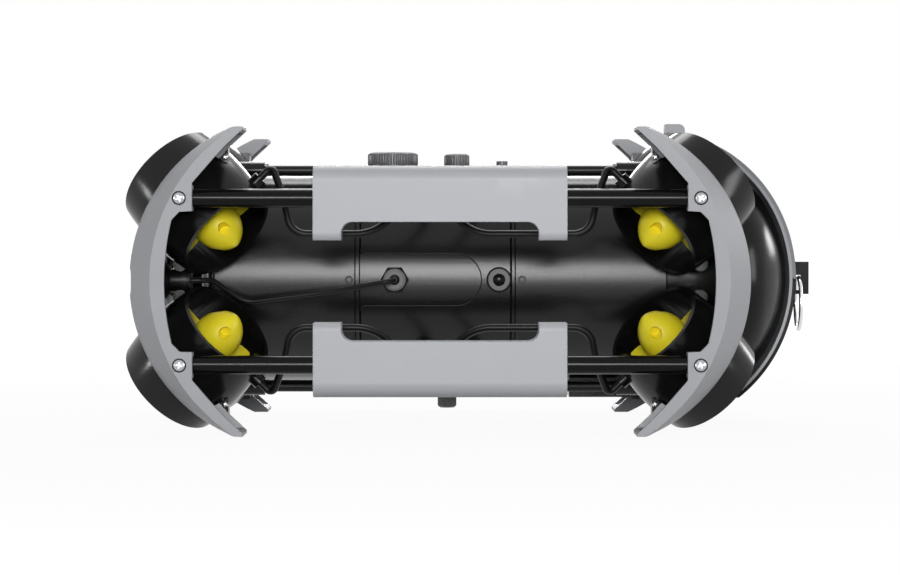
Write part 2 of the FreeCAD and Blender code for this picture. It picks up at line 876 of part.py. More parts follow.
def make_keel():
    """The plate below the rear of the hull that carries the strap hinge."""
    rear = hinge_x - hinge_barrel_radius
    plate = box((rear, keel_front), (-keel_half_width, keel_half_width),
                (-hull_radius - keel_depth, -hull_radius + keel_overlap))
    plate = plate.cut(rod(bowl_radius + bowl_clearance, Vector(-FAR, 0, 0), Vector(hull_rear + bowl_clearance, 0, 0)))
    plate = plate.cut(rod(hull_radius, Vector(-FAR, 0, 0), Vector(0, 0, 0)))
    pivot = Vector(hinge_x, 0, hinge_z)
    half = Vector(0, keel_half_width, 0)
    plate = plate.fuse(rod(hinge_barrel_radius, pivot - half, pivot + half))
    slot = box((rear - 1, hinge_x + hinge_barrel_radius + keel_slot_clearance),
               (-hinge_barrel_half - FIT, hinge_barrel_half + FIT), (-FAR, 0))
    plate = plate.cut(slot)
    across = Vector(0, FAR / 4, 0)
    return plate.cut(rod(hinge_pin_radius, pivot - across, pivot + across))


def latch_stand():
    """Two ears on a tongue of the rear upper frame that hold the latch pin."""
    pivot = latch_pivot()
    outer = latch_half_width + FIT + latch_ear_width
    rear = pivot.x - latch_ear_half_length
    tongue = box((rear, -frame_start), (-outer, outer), (latch_floor_z, latch_floor_z + latch_floor_thickness))
    ears = [box((rear, pivot.x + latch_ear_half_length), (side * (latch_half_width + FIT), side * outer),
                (latch_floor_z, pivot.z + latch_pin_radius + latch_ear_wall)) for side in (-1, 1)]
    return ears + [tongue]


def make_rear_frames():
    upper = make_frame().mirror(ORIGIN, X_AXIS)
    lower = corner_copy(make_frame(), "rear", "port", "lower")
    across = Vector(0, FAR / 8, 0)
    upper = fused([upper] + latch_stand())
    upper = upper.cut(rod(hull_radius, Vector(-FAR, 0, 0), Vector(0, 0, 0)))
    upper = upper.cut(rod(latch_pin_radius, latch_pivot() - across, latch_pivot() + across))
    return [upper, fused([lower, make_keel()])]


def make_latch_pin():
    reach = Vector(0, latch_half_width + FIT + latch_ear_width, 0)
    return rod(latch_pin_radius, latch_pivot() - reach, latch_pivot() + reach)


def four_bars(radius, half_length, y, z):
    """Four parallel round bars along X, one at each corner of a rectangle."""
    return [rod(radius, Vector(-half_length, side * y, level * z), Vector(half_length, side * y, level * z))
            for side in (1, -1) for level in (1, -1)]


def make_tie_rods():
    return four_bars(tie_radius, frame_start + frame_length / 2, tie_y, tie_z)


def make_rails():
    return four_bars(rail_radius, rail_half_length, rail_y, rail_z)


def cover_side_outline():
    """The grip seen from the side: a long bar with a foot at each end."""
    edges = []
    half = cover_half_length
    step = half - cover_foot_length
    bend = cover_inner_corner
    outline = [Vector(-half, 0, cover_foot_bottom), Vector(-half, 0, cover_top), Vector(half, 0, cover_top),
               Vector(half, 0, cover_foot_bottom), Vector(step, 0, cover_foot_bottom),
               Vector(step, 0, cover_bottom - bend)]
    for start, end in zip(outline, outline[1:]):
        edges.append(line(start, end))
    right = Vector(step - bend, 0, cover_bottom - bend)
    left = Vector(-step + bend, 0, cover_bottom - bend)
    quarter = math.radians(45)
    edges.append(arc(outline[-1], polar(right, bend, quarter), Vector(right.x, 0, cover_bottom)))
    edges.append(line(Vector(right.x, 0, cover_bottom), Vector(left.x, 0, cover_bottom)))
    edges.append(arc(Vector(left.x, 0, cover_bottom), polar(left, bend, 3 * quarter),
                     Vector(-step, 0, cover_bottom - bend)))
    edges.append(line(Vector(-step, 0, cover_bottom - bend), Vector(-step, 0, cover_foot_bottom)))
    edges.append(line(Vector(-step, 0, cover_foot_bottom), outline[0]))
    return face_of(edges)


def cover_section(inset):
    """The grip's cross-section, rounded at the top and bottom of its outer face."""
    outer = cover_face_y - inset
    inner = cover_face_y - cover_depth
    top = cover_top - inset
    low = cover_foot_bottom - 1 + inset
    big = cover_top_round - inset
    small = cover_low_round - inset
    knee = math.sqrt(0.5)
    edges = [
        line(Vector(0, inner, low), Vector(0, inner, top)),
        line(Vector(0, inner, top), Vector(0, outer - big, top)),
        arc(Vector(0, outer - big, top), Vector(0, outer - big + big * knee, top - big + big * knee),
            Vector(0, outer, top - big)),
        line(Vector(0, outer, top - big), Vector(0, outer, low + small)),
        arc(Vector(0, outer, low + small), Vector(0, outer - small + small * knee, low + small - small * knee),
            Vector(0, outer - small, low)),
        line(Vector(0, outer - small, low), Vector(0, inner, low)),
    ]
    return face_of(edges)


def make_cover():
    """A hollow grip, open on its inner side, with the rail through its end walls."""
    half = cover_half_length
    bar = cover_section(0).extrude(Vector(2 * half, 0, 0))
    bar.translate(Vector(-half, 0, 0))
    side = cover_side_outline().extrude(Vector(0, FAR, 0))
    cavity = cover_section(cover_wall).extrude(Vector(2 * (half - cover_wall), 0, 0))
    cavity.translate(Vector(-(half - cover_wall), 0, 0))
    cavity = cavity.cut(box((-FAR, FAR), (-FAR, FAR), (-FAR, cover_bottom + cover_wall)))
    cavity = cavity.cut(box((-FAR, FAR), (-FAR, cover_face_y - cover_depth - 1), (-FAR, FAR)))
    shell = bar.common(side).cut(cavity)
    opening = box((-half + cover_wall, half - cover_wall),
                  (cover_face_y - cover_depth - 1, cover_face_y - cover_depth + 1),
                  (cover_bottom + cover_wall, cover_top - cover_wall))
    shell = shell.cut(opening)
    rail = rod(rail_radius, Vector(-FAR, rail_y, rail_z), Vector(FAR, rail_y, rail_z))
    return shell.cut(rail)


def guard_blank(inset, face_y):
    """The full round form of a guard: a drum with a skewed shoulder up to its side face."""
    shoulder = guard_shoulder_y - inset
    drum = Part.makeCylinder(guard_radius - inset, shoulder, Vector(guard_centre_x, 0, 0), Y_AXIS)
    low = Part.Wire([Part.Circle(Vector(guard_centre_x, shoulder, 0), Y_AXIS, guard_radius - inset).toShape()])
    high = Part.Wire([Part.Circle(Vector(guard_face_centre_x, face_y, 0), Y_AXIS,
                                  guard_face_radius - inset).toShape()])
    return drum.fuse(Part.makeLoft([low, high], True, True))


def guard_window():
    """The open middle of a guard as seen from the side, with a step at each rail boss."""
    end = rail_half_length
    upper = [(guard_tip_x, guard_tip_z + guard_wall), (guard_tip_x, window_top_z),
             (end - window_shoulder_inset, window_shoulder_z), (end - window_arm_inset, window_arm_z),
             (boss_start, window_boss_top), (boss_start, window_boss_foot),
             (end - window_step_inset, window_step_z), (end + window_side_run, window_side_z)]
    bottom = [(x, -z) for x, z in reversed(upper)]
    edges = []
    corners = [Vector(x, 0, z) for x, z in upper]
    lower = [Vector(x, 0, z) for x, z in bottom]
    for first, second in zip(corners, corners[1:]):
        edges.append(line(first, second))
    waist = Vector(end + window_waist_run, 0, 0)
    edges.append(arc(corners[-1], waist, lower[0]))
    for first, second in zip(lower, lower[1:]):
        edges.append(line(first, second))
    back_low = Vector(0, 0, lower[-1].z)
    back_high = Vector(0, 0, corners[0].z)
    edges.append(line(lower[-1], back_low))
    edges.append(line(back_low, back_high))
    edges.append(line(back_high, corners[0]))
    return face_of(edges).extrude(Vector(0, FAR, 0))


def make_guard(with_lamp):
    """One guard: a dished shell with two arms, a cheek between the ducts, webs and rail bosses."""
    blank = guard_blank(0, guard_face_y)
    keep = fused([
        box((0, FAR), (guard_arm_y, guard_face_y), (-guard_tip_z, guard_tip_z)),
        box((0, FAR), (guard_cheek_y, guard_face_y), (-cheek_half_height, cheek_half_height)),
    ])
    shell = blank.common(keep).cut(guard_blank(guard_wall, guard_face_y - guard_wall))
    webs = [box((0, FAR), (guard_arm_y, guard_arm_y + web_thickness), (z, z + side * (guard_tip_z - web_start_z)))
            for z, side in ((web_start_z, 1), (-web_start_z, -1))]
    tips = [box((0, FAR), (guard_arm_y, guard_face_y), (side * (guard_tip_z - guard_wall), side * guard_tip_z))
            for side in (-1, 1)]
    bosses = [rod(boss_radius, Vector(boss_start, rail_y, z), Vector(guard_centre_x + guard_radius, rail_y, z))
              for z in (-rail_z, rail_z)]
    extras = [blank.common(extra) for extra in webs + tips + bosses]
    body = fused([shell] + extras).cut(guard_window())
    for level in ("upper", "lower"):
        body = body.cut(corner_copy(duct_outer(duct_clearance), "front", "port", level))
    for z in (-rail_z, rail_z):
        start = Vector(boss_start - 1, rail_y, z)
        body = body.cut(rod(rail_radius, start, Vector(rail_half_length, rail_y, z)))
        seat = Vector(rail_screw_x, rail_y, z)
        body = body.cut(rod(rail_screw_shank, seat, Vector(rail_screw_x, FAR, z)))
    if with_lamp:
        body = body.cut(rod(lamp_head_radius, Vector(lamp_head_start, lamp_y, 0), Vector(FAR, lamp_y, 0)))
        scoop_x = guard_centre_x + guard_radius + dimple_radius - dimple_depth
        body = body.cut(Part.makeSphere(dimple_radius, Vector(scoop_x, guard_shoulder_y, 0)))
    return body


def make_rail_screws():
    """Round-headed screws through the guard faces into the rail ends."""
    screws = []
    for x in (-rail_screw_x, rail_screw_x):
        for side in (-1, 1):
            for z in (-rail_z, rail_z):
                screws.append(domed_screw(x, side, z))
    return screws


def domed_screw(x, side, z):
    shank_start = -(guard_face_y - rail_y - rail_radius)
    profile = turned([
        (shank_start, 0), (shank_start, rail_screw_shank), (0, rail_screw_shank), (0, rail_screw_head),
        dome_arc(0, rail_screw_head, rail_screw_dome),
    ])
    profile.rotate(ORIGIN, Z_AXIS, 90)
    profile.translate(Vector(x, guard_face_y, z))
    return profile if side > 0 else profile.mirror(ORIGIN, Y_AXIS)


def on_thruster(shape):
    """Places a piece made along X onto the front port upper thruster axis."""
    turn = FreeCAD.Rotation(thruster_axis, thruster_side, thruster_over, "XYZ")
    placed = shape.copy()
    placed.Placement = FreeCAD.Placement(mouth, turn).multiply(shape.Placement)
    return placed


def duct_outer(offset):
    """The round barrel form of a duct, its outside moved out by an offset."""
    waist = (duct_length / 2, duct_waist_radius + offset)
    return on_thruster(turned([
        (0, 0), (0, duct_mouth_radius + offset), (waist, (duct_length, duct_rim_radius + offset)), (duct_length, 0),
    ]))


def duct_inside():
    """The open inside of a duct: two plain cones that meet at the waist, as a moulding core has."""
    mouth_inner = duct_mouth_radius - duct_wall
    rim_inner = duct_rim_radius - duct_wall
    return turned([
        (-1, 0), (-1, mouth_inner), (0, mouth_inner), (duct_length / 2, duct_waist_radius - duct_wall),
        (duct_length, rim_inner), (duct_length + 1, rim_inner), (duct_length + 1, 0),
    ])


def make_duct():
    """One thruster duct with a cable boss, a lamp lug and a mount block."""
    over_local = Vector(0, 0, 1)
    boss_foot = Vector(cable_boss_back, 0, 0) + over_local * (duct_mouth_radius - duct_wall / 2)
    boss_end = Vector(cable_boss_back, 0, 0) + over_local * cable_boss_reach()
    boss = on_thruster(rod(cable_boss_radius, boss_foot, boss_end))
    lug = rod(lug_radius, Vector(lug_x, lug_start_y, lug_z), Vector(lug_x, lug_end_y, lug_z))
    block = box((block_start_x, block_end_x), (block_start_y, guard_arm_y), (block_low_z, block_high_z))
    body = fused([duct_outer(0), boss, lug, block])
    return body.cut(on_thruster(duct_inside()))


def make_bracket():
    """The motor bracket: a sleeve round the motor and three struts that stand on the duct's inner wall."""
    start = Vector(sleeve_start, 0, 0)
    end = Vector(sleeve_end, 0, 0)
    pieces = [rod(motor_radius + motor_sleeve_wall, start, end)]
    for count in range(strut_count):
        strut = box((sleeve_start + strut_inset, sleeve_end - strut_inset), (0, duct_waist_radius),
                    (-strut_thickness / 2, strut_thickness / 2))
        strut.rotate(ORIGIN, X_AXIS, 90 + 360 * count / strut_count)
        pieces.append(strut)
    bracket = fused(pieces).cut(rod(motor_radius, start - X_AXIS, end + X_AXIS))
    return on_thruster(bracket.common(duct_inside()))


def cable_boss_reach():
    return duct_mouth_radius + cable_boss_base + cable_boss_height


def make_motor():
    """The sealed motor with its round back and the propeller shaft."""
    back = motor_front + motor_length
    return on_thruster(turned([
        (shaft_tip, 0), (shaft_tip, shaft_radius), (motor_front, shaft_radius), (motor_front, motor_radius),
        (back - motor_chamfer, motor_radius), (back, motor_radius - motor_chamfer), (back, 0),
    ]))


def blade_section(radius, chord, pitch, thickness, camber):
    """A curved lens section of a blade in the plane at one radius."""
    angle = math.radians(pitch)
    centre = Vector(blade_middle, radius, 0)
    along = Vector(math.sin(angle), 0, -math.cos(angle)) * (chord / 2)
    normal = Vector(math.cos(angle), 0, math.sin(angle))
    lead = centre + along
    trail = centre - along
    high = centre + normal * (camber + thickness / 2)
    low = centre + normal * (camber - thickness / 2)
    return Part.Wire([arc(lead, high, trail), arc(trail, low, lead)])


def make_propeller():
    """A pointed hub with three holes, and three twisted, lofted blades that sit on it."""
    side_curve = ((hub_apex + hub_curve_back, hub_radius * hub_curve_share), (hub_shoulder, hub_radius))
    hub = turned([
        (hub_apex, 0), (hub_apex + hub_tip_flat, hub_blunt), side_curve, (hub_end, hub_radius), (hub_end, 0),
    ])
    root = hub_radius - hub_root
    middle = (hub_radius + blade_tip_radius) / 2
    beyond = blade_tip_radius + 1
    sections = [
        blade_section(root, root_chord, root_pitch, root_thickness, blade_camber),
        blade_section(middle, middle_chord, middle_pitch, middle_thickness, blade_camber),
        blade_section(beyond, tip_chord, tip_pitch, tip_thickness, blade_camber),
    ]
    blade = Part.makeLoft(sections, True, False)
    blade = blade.common(rod(blade_tip_radius, Vector(-FAR, 0, 0), Vector(FAR, 0, 0)))
    blade = blade.cut(hub)
    blades = []
    for count in range(blade_count):
        copy = blade.copy()
        copy.rotate(ORIGIN, X_AXIS, 360 * count / blade_count)
        blades.append(on_thruster(copy))
    hole_x = hub_apex + hub_hole_back
    for count in range(hub_hole_count):
        angle = math.radians(hub_hole_turn + 360 * count / hub_hole_count)
        outward = Vector(0, math.cos(angle), math.sin(angle))
        foot = Vector(hole_x, 0, 0) + outward * (hub_radius * hub_hole_share - hub_hole_depth)
        hub = hub.cut(rod(hub_hole_radius, foot, foot + outward * FAR))
    bore_end = Vector(hub_end + 1, 0, 0)
    hub = hub.cut(rod(shaft_radius + SHAFT_FIT, Vector(shaft_tip - FIT, 0, 0), bore_end))
    return [on_thruster(hub)] + blades


def make_lamp():
    """A lamp: a narrow neck, a flange seated on the two lugged ducts, and a round head."""
    head = turned([
        (lamp_neck_start, 0), (lamp_neck_start, lamp_neck_radius - lamp_edge),
        (lamp_neck_start + lamp_edge, lamp_neck_radius),
        (lamp_flange_start, lamp_neck_radius), (lamp_flange_start, lamp_flange_radius),
        (lamp_flange_end, lamp_flange_radius), (lamp_flange_end, lamp_neck_radius),
        (lamp_head_start - lamp_cone_length, lamp_neck_radius), (lamp_head_start, lamp_head_radius),
        (lamp_head_end, lamp_head_radius), (lamp_head_end, lamp_lens_radius),
        (lamp_head_end - lamp_lens_depth, lamp_lens_radius), (lamp_head_end - lamp_lens_depth, 0),
    ])
    head.translate(Vector(0, lamp_y, 0))
    for level in ("upper", "lower"):
        head = head.cut(corner_copy(duct_outer(0), "front", "port", level))
        lug = rod(lug_radius, Vector(lug_x, lug_start_y, lug_z), Vector(lug_x, lug_end_y, lug_z))
        head = head.cut(corner_copy(lug, "front", "port", level))
    return head


def make_lamp_lens():
    lens = turned([
        (lamp_head_end - lamp_lens_depth, 0), (lamp_head_end - lamp_lens_depth, lamp_lens_radius),
        (lamp_head_end, lamp_lens_radius), (lamp_head_end, 0),
    ])
    lens.translate(Vector(0, lamp_y, 0))
    return lens


def make_lamp_cable():
    """The lamp lead: out of the side gland, forward beside the hull, then outwards to the back of the lamp.

    From the gland it sags along the hull to pass below the duct's edge, and rises again before the lamp.
    """
    start_y = hull_radius - panel_depth + gland_nut_height + gland_ring_height
    low = Vector(rail_half_length - lamp_cable_low_inset, hull_radius + lamp_cable_low_gap, -lamp_cable_low_drop)
    return tube_along([
        (gland_x, start_y, 0), (gland_x + lamp_cable_lead, start_y + lamp_cable_rise, -lamp_cable_drop),
        (gland_x + lamp_cable_sag_run, hull_radius + lamp_cable_sag_gap, -lamp_cable_sag_drop), tuple(low),
        (low.x + lamp_cable_lift_run, low.y + lamp_cable_lift_gap, -lamp_cable_lift_drop),
        (low.x + lamp_cable_turn_run, lamp_y - lamp_cable_turn_inset, 0),
        (lamp_neck_start - lamp_cable_end_run, lamp_y, 0), (lamp_neck_start, lamp_y, 0),
    ], lamp_cable_radius)


def cable_start(front):
    """Where a thruster cable leaves its duct, and the direction it leaves in."""
    mouth_point = mouth + thruster_axis * cable_boss_back + thruster_over * cable_boss_reach()
    outward = Vector(thruster_over)
    if not front:
        mouth_point.x = -mouth_point.x
        outward.x = -outward.x
    return mouth_point, outward


def make_thruster_cable(front):
    """A held cable: over the duct, down behind the rail, level below the grip and up to its gland."""
    start, outward = cable_start(front)
    first = start + outward * cable_exit_length
    side = 1 if front else -1
    gland = cable_gland_mouth(front_gland_x if front else rear_gland_x)
    rise = gland + cable_gland_direction() * cable_gland_run
    level_end = front_level_end if front else rear_level_end
    up_x = front_rise_x if front else rear_rise_x
    return tube_along([
        tuple(start), tuple(first), (side * cable_turn_x, cable_y - cable_bend_inset, cable_drop_z),
        (side * (cable_turn_x - cable_turn_run), cable_y, cable_level_z),
        (level_end, cable_y, cable_level_z), (up_x, cable_y - cable_rise_inset, cable_level_z + cable_rise_step),
        tuple(rise), tuple(gland),
    ], cable_radius)


def make_gland(side):
    """The hexagon gland nut on the side panel with its round ferrule."""
    foot = Vector(gland_x, side * (hull_radius - panel_depth), 0)
    corners = []
    reach = gland_nut_across / 2 / math.cos(math.pi / 6)
    for count in range(7):
        angle = math.pi * count / 3
        corners.append(foot + Vector(reach * math.cos(angle), 0, reach * math.sin(angle)))
    nut = Part.Face(Part.makePolygon(corners)).extrude(Vector(0, side * gland_nut_height, 0))
    tip = foot + Vector(0, side * (gland_nut_height + gland_ring_height), 0)
    nut = fused([nut, rod(gland_ring_radius, foot, tip)])
    skirt = Vector(0, side * gland_skirt, 0)
    nut = fused([nut, rod(gland_ring_radius, foot - skirt, foot)])
    inside = hull_radius - panel_depth
    return nut.cut(rod(inside, Vector(-FAR, 0, 0), Vector(FAR, 0, 0)))


def make_plug(side):
    """The side plug: a washer and a socket screw."""
    foot = Vector(plug_x, side * (hull_radius - plug_seat), 0)
    out = Vector(0, side, 0)
    tip = foot + out * (plug_screw_height + plug_seat)
    washer = rod(plug_radius, foot, foot + out * (plug_height + plug_seat))
    head = rod(plug_screw_radius, foot, tip)
    socket = rod(plug_socket_radius, tip - out * plug_socket_depth, tip)
    body = fused([washer, head]).cut(socket)
    return body.cut(rod(hull_radius, Vector(-FAR, 0, 0), Vector(FAR, 0, 0)))


def make_cap(x, radius, top, ribs):
    foot = hull_radius + top_boss_height + FIT
    knob = ribbed_disc(radius, ribs, rib_depth, Vector(x, 0, foot), top - foot, 1)
    return knob.cut(rod(radius * cap_well_share, Vector(x, 0, top - cap_well_depth), Vector(x, 0, top)))


def make_knob():
    foot = -(hull_radius + top_boss_height + FIT)
    return ribbed_disc(knob_radius, knob_ribs, rib_depth / 2, Vector(knob_x, 0, foot), foot - knob_bottom, -1)


def make_vent_plug():
    start = Vector(vent_x, 0, hull_radius - hull_wall)
    shoulder = hull_radius + vent_shoulder
    base = rod(vent_base_radius, Vector(vent_x, 0, hull_radius - vent_skirt), Vector(vent_x, 0, shoulder))
    base = base.cut(rod(hull_radius, Vector(-FAR, 0, 0), Vector(FAR, 0, 0)))
    return fused([base, rod(vent_radius, start, Vector(vent_x, 0, vent_top))])


def both_sides(shape):
    return [shape, shape.mirror(ORIGIN, Y_AXIS)]


def save(name, shapes):
    solids = []
    for shape in shapes:
        solids += shape.Solids
    for solid in solids:
        if not solid.isValid():
            print("not valid:", name)
    whole = solids[0] if len(solids) == 1 else Part.makeCompound(solids)
    whole = whole.copy()
    whole.translate(TO_ORIGIN)
    whole.exportStep("parts/%s.step" % name)
    bounds = whole.BoundBox
    print("%-28s %2d solids  x %.1f..%.1f  y %.1f..%.1f  z %.1f..%.1f" % (
        name, len(solids), bounds.XMin, bounds.XMax, bounds.YMin, bounds.YMax, bounds.ZMin, bounds.ZMax))


def main():
    os.makedirs("parts", exist_ok=True)
    save("front_hull", [hull_section(front_seam, hull_front)])
    save("middle_hull", [make_mid_hull()])
    save("rear_hull", [hull_section(hull_rear, rear_seam)])
    save("joint_sleeves", make_joint_sleeves())
    save("hull_seals", make_hull_seals())
    save("nose_cap", [make_nose()])
    save("camera_bezel", [make_bezel()])
    save("camera_dome", [make_dome()])
    save("camera_module", [make_camera()])
    save("camera_lens", [make_lens()])
    save("electronics_tray", [make_tray()])
    save("control_board", [make_board()])
    save("battery_pack", [make_battery()])
    save("tail_bowl", [make_bowl()])
    save("tail_strap", [make_strap()])
    save("strap_pad", [make_strap_pad()])
    save("hinge_pins", [make_hinge_pin(), make_latch_pin()])
    save("tow_ring", [make_tow_ring()])
    save("latch_lever", [make_latch()])
    frame = make_frame()
    save("front_frames", [frame, frame.mirror(ORIGIN, Z_AXIS)])
    save("rear_frames", make_rear_frames())
    save("tie_rods", make_tie_rods())
    save("rails", make_rails())
    cover = make_cover()
    for side in ("port", "starboard"):
        for level in ("upper", "lower"):
            save("%s_%s_grip" % (side, level), [corner_copy(cover, "front", side, level)])
    for end in ("front", "rear"):
        guard = make_guard(end == "front")
        for side in ("port", "starboard"):
            save("%s_%s_guard" % (end, side), [corner_copy(guard, end, side)])
    save("rail_screws", make_rail_screws())
    duct = make_duct()
    bracket = make_bracket()
    motor = make_motor()
    propeller = make_propeller()
    for end, side, level in CORNERS:
        save("%s_%s_%s_duct" % (end, side, level), [corner_copy(duct, end, side, level)])
        save("%s_%s_%s_propeller" % (end, side, level), [corner_copy(piece, end, side, level) for piece in propeller])
    save("motor_brackets", [corner_copy(bracket, *corner) for corner in CORNERS])
    save("thruster_motors", [corner_copy(motor, *corner) for corner in CORNERS])
    cables = {"front": make_thruster_cable(True), "rear": make_thruster_cable(False)}
    save("thruster_cables", [corner_copy(cables[end], "front", side, level) for end, side, level in CORNERS])
    save("lamp_housings", both_sides(make_lamp()))
    save("lamp_lenses", both_sides(make_lamp_lens()))
    save("lamp_cables", both_sides(make_lamp_cable()))
    save("side_glands", [make_gland(1), make_gland(-1)])
    save("side_plugs", [make_plug(1), make_plug(-1)])
    save("large_cap", [make_cap(big_cap_x, big_cap_radius, big_cap_top, big_cap_ribs)])
    save("small_cap", [make_cap(small_cap_x, small_cap_radius, small_cap_top, small_cap_ribs)])
    save("vent_plug", [make_vent_plug()])
    save("bottom_knob", [make_knob()])


main()
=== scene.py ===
import json
import math

import bpy
from bpy.props import FloatProperty, FloatVectorProperty, IntProperty, PointerProperty
from mathutils import Matrix, Vector


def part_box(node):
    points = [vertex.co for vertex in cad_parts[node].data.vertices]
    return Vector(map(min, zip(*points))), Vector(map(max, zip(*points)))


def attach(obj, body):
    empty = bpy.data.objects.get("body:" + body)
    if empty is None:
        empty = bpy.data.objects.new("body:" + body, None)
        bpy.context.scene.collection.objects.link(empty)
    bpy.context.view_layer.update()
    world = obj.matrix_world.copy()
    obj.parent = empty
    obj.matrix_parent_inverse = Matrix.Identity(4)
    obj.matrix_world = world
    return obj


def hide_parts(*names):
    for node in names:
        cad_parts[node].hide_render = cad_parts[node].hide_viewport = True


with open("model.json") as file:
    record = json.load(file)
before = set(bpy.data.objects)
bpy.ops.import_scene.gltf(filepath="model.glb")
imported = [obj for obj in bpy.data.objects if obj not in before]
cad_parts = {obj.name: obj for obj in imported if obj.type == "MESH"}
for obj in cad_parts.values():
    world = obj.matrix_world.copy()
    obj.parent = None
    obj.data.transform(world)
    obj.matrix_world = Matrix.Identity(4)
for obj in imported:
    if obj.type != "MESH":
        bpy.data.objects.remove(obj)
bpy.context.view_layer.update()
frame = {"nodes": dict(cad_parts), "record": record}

bl_info = {
    "name": "Underwater Inspection Vehicle",
    "version": (1, 0, 0),
    "blender": (4, 5, 0),
    "location": "View3D > Sidebar > Vehicle",
    "description": "Gives the packed underwater vehicle its finishes and its fine details",
    "category": "Object",
}

ROOT = "hull_assembly"
MM = 0.001

# The hull axis and the middle between the guards, read from the rails
RAILS_LOW, RAILS_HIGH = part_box("rails")
MIDDLE_X = (RAILS_LOW.x + RAILS_HIGH.x) / 2
AXIS_Z = (RAILS_LOW.z + RAILS_HIGH.z) / 2

# Places on the vehicle in millimetres, measured as place() takes them
HULL_RADIUS = 58.5
HULL_INNER_RADIUS = 55.5
HULL_END = 125.9
FRONT_SEAM = 44.7
REAR_SEAM = -39.2
BEZEL_FACE = 141.0
CAMERA_FACE = 138.0
RAIL_RADIUS = 5.0
RAIL_HALF_LENGTH = 140.0
RAIL_Y = 125.0
RAIL_Z = 44.5
GLAND_X = 25.4
PLUG_X = -32.5
LAMP_Y = 86.0

CORNERS = [(end, side, level) for end in ("front", "rear") for side in ("port", "starboard")
           for level in ("upper", "lower")]

FINISHES = {}


def place(x, y, z):
    """A point given in millimetres from the middle of the hull axis, in metres in the frame."""
    return Vector((MIDDLE_X + x * MM, y * MM, AXIS_Z + z * MM))


def body_of_node(node):
    """The body that a CAD node rides on."""
    bodies = frame["record"]["behaviour"]["bodies"]
    return next(name for name, nodes in bodies.items() if node in nodes)


class Link:
    """A node's output that can stand in a Python expression."""

    def __init__(self, finish, socket):
        self.finish = finish
        self.socket = socket

    def calculate(self, operation, first, second):
        return self.finish.node("ShaderNodeMath", {"operation": operation}, {0: first, 1: second})

    def __add__(self, other):
        return self.calculate("ADD", self, other)

    def __radd__(self, other):
        return self.calculate("ADD", other, self)

    def __sub__(self, other):
        return self.calculate("SUBTRACT", self, other)

    def __mul__(self, other):
        return self.calculate("MULTIPLY", self, other)

    def __rmul__(self, other):
        return self.calculate("MULTIPLY", other, self)


class Finish:
    """A material, its main shader and the nodes that feed it."""

    def __init__(self, name, metallic=0.0, specular=0.5, coat=0.0, coat_roughness=0.1):
        self.material = bpy.data.materials.new(name)
        self.material.use_nodes = True
        self.tree = self.material.node_tree
        self.shader = self.tree.nodes["Principled BSDF"]
        self.shader.inputs["Metallic"].default_value = metallic
        self.shader.inputs["Specular IOR Level"].default_value = specular
        self.shader.inputs["Coat Weight"].default_value = coat
        self.shader.inputs["Coat Roughness"].default_value = coat_roughness
        self.place = self.node("ShaderNodeTexCoord", output="Object")
        FINISHES[name] = self

    def node(self, kind, settings=None, inputs=None, output=0):
        """Adds a node: its settings first, then the values or links of its sockets."""
        made = self.tree.nodes.new(kind)
        for key, value in (settings or {}).items():
            setattr(made, key, value)
        for key, value in (inputs or {}).items():
            self.set(made.inputs[key], value)
        return Link(self, made.outputs[output])

    def set(self, socket, value):
        if isinstance(value, Link):
            self.tree.links.new(value.socket, socket)
        else:
            socket.default_value = value

    def feed(self, name, value):
        """Gives the main shader a value or a link."""
        self.set(self.shader.inputs[name], value)

    def noise(self, scale, detail=3.0, roughness=0.5, stretch=None):
        """Smooth noise from 0 to 1, its features about 1 / scale of a metre across."""
        vector = self.place
        if stretch:
            vector = self.node("ShaderNodeMapping", None, {"Vector": self.place, "Scale": stretch})
        return self.node("ShaderNodeTexNoise", {"noise_dimensions": "3D"},
                         {"Vector": vector, "Scale": scale, "Detail": detail, "Roughness": roughness})

    def ramp(self, value, low, high):
        """A value taken from 0 at low to 1 at high."""
        return self.node("ShaderNodeMapRange", {"interpolation_type": "SMOOTHSTEP"},
                         {"Value": value, "From Min": low, "From Max": high})

    def mix(self, share, first, second):
        """A colour between two others."""
        return self.node("ShaderNodeMix", {"data_type": "RGBA", "blend_type": "MIX"},
                         {0: share, 6: rgba(first), 7: rgba(second)}, output=2)

    def bump(self, height, depth):
        """Relief of a given depth in metres."""
        self.feed("Normal", self.node("ShaderNodeBump", None, {"Height": height, "Distance": depth}))


def rgba(colour):
    """A colour with its alpha, or the link that stands for one."""
    if isinstance(colour, Link):
        return colour
    return (colour[0], colour[1], colour[2], 1.0)


def shade(colour, factor):
    """A lighter or darker colour."""
    return tuple(min(1.0, part * factor) for part in colour)


def moulded(name, colour, roughness, grain=1400.0, grain_depth=0.00002, specular=0.4, mottling=0.05):
    """A moulded plastic: a fine spark-eroded grain, faint flow mottling and handling marks."""
    finish = Finish(name, specular=specular)
    flow = finish.noise(24.0, detail=2.0)
    specks = finish.ramp(finish.noise(2600.0, detail=1.0), 0.66, 0.74)
    tone = finish.mix(flow, shade(colour, 1.0 - mottling), shade(colour, 1.0 + mottling))
    finish.feed("Base Color", finish.mix(specks * 0.35, tone, shade(colour, 0.72)))
    marks = finish.ramp(finish.noise(55.0, detail=6.0, roughness=0.7), 0.56, 0.68)
    finish.feed("Roughness", roughness + 0.05 * flow - 0.06 * marks)
    finish.bump(finish.noise(grain, detail=2.0), grain_depth)


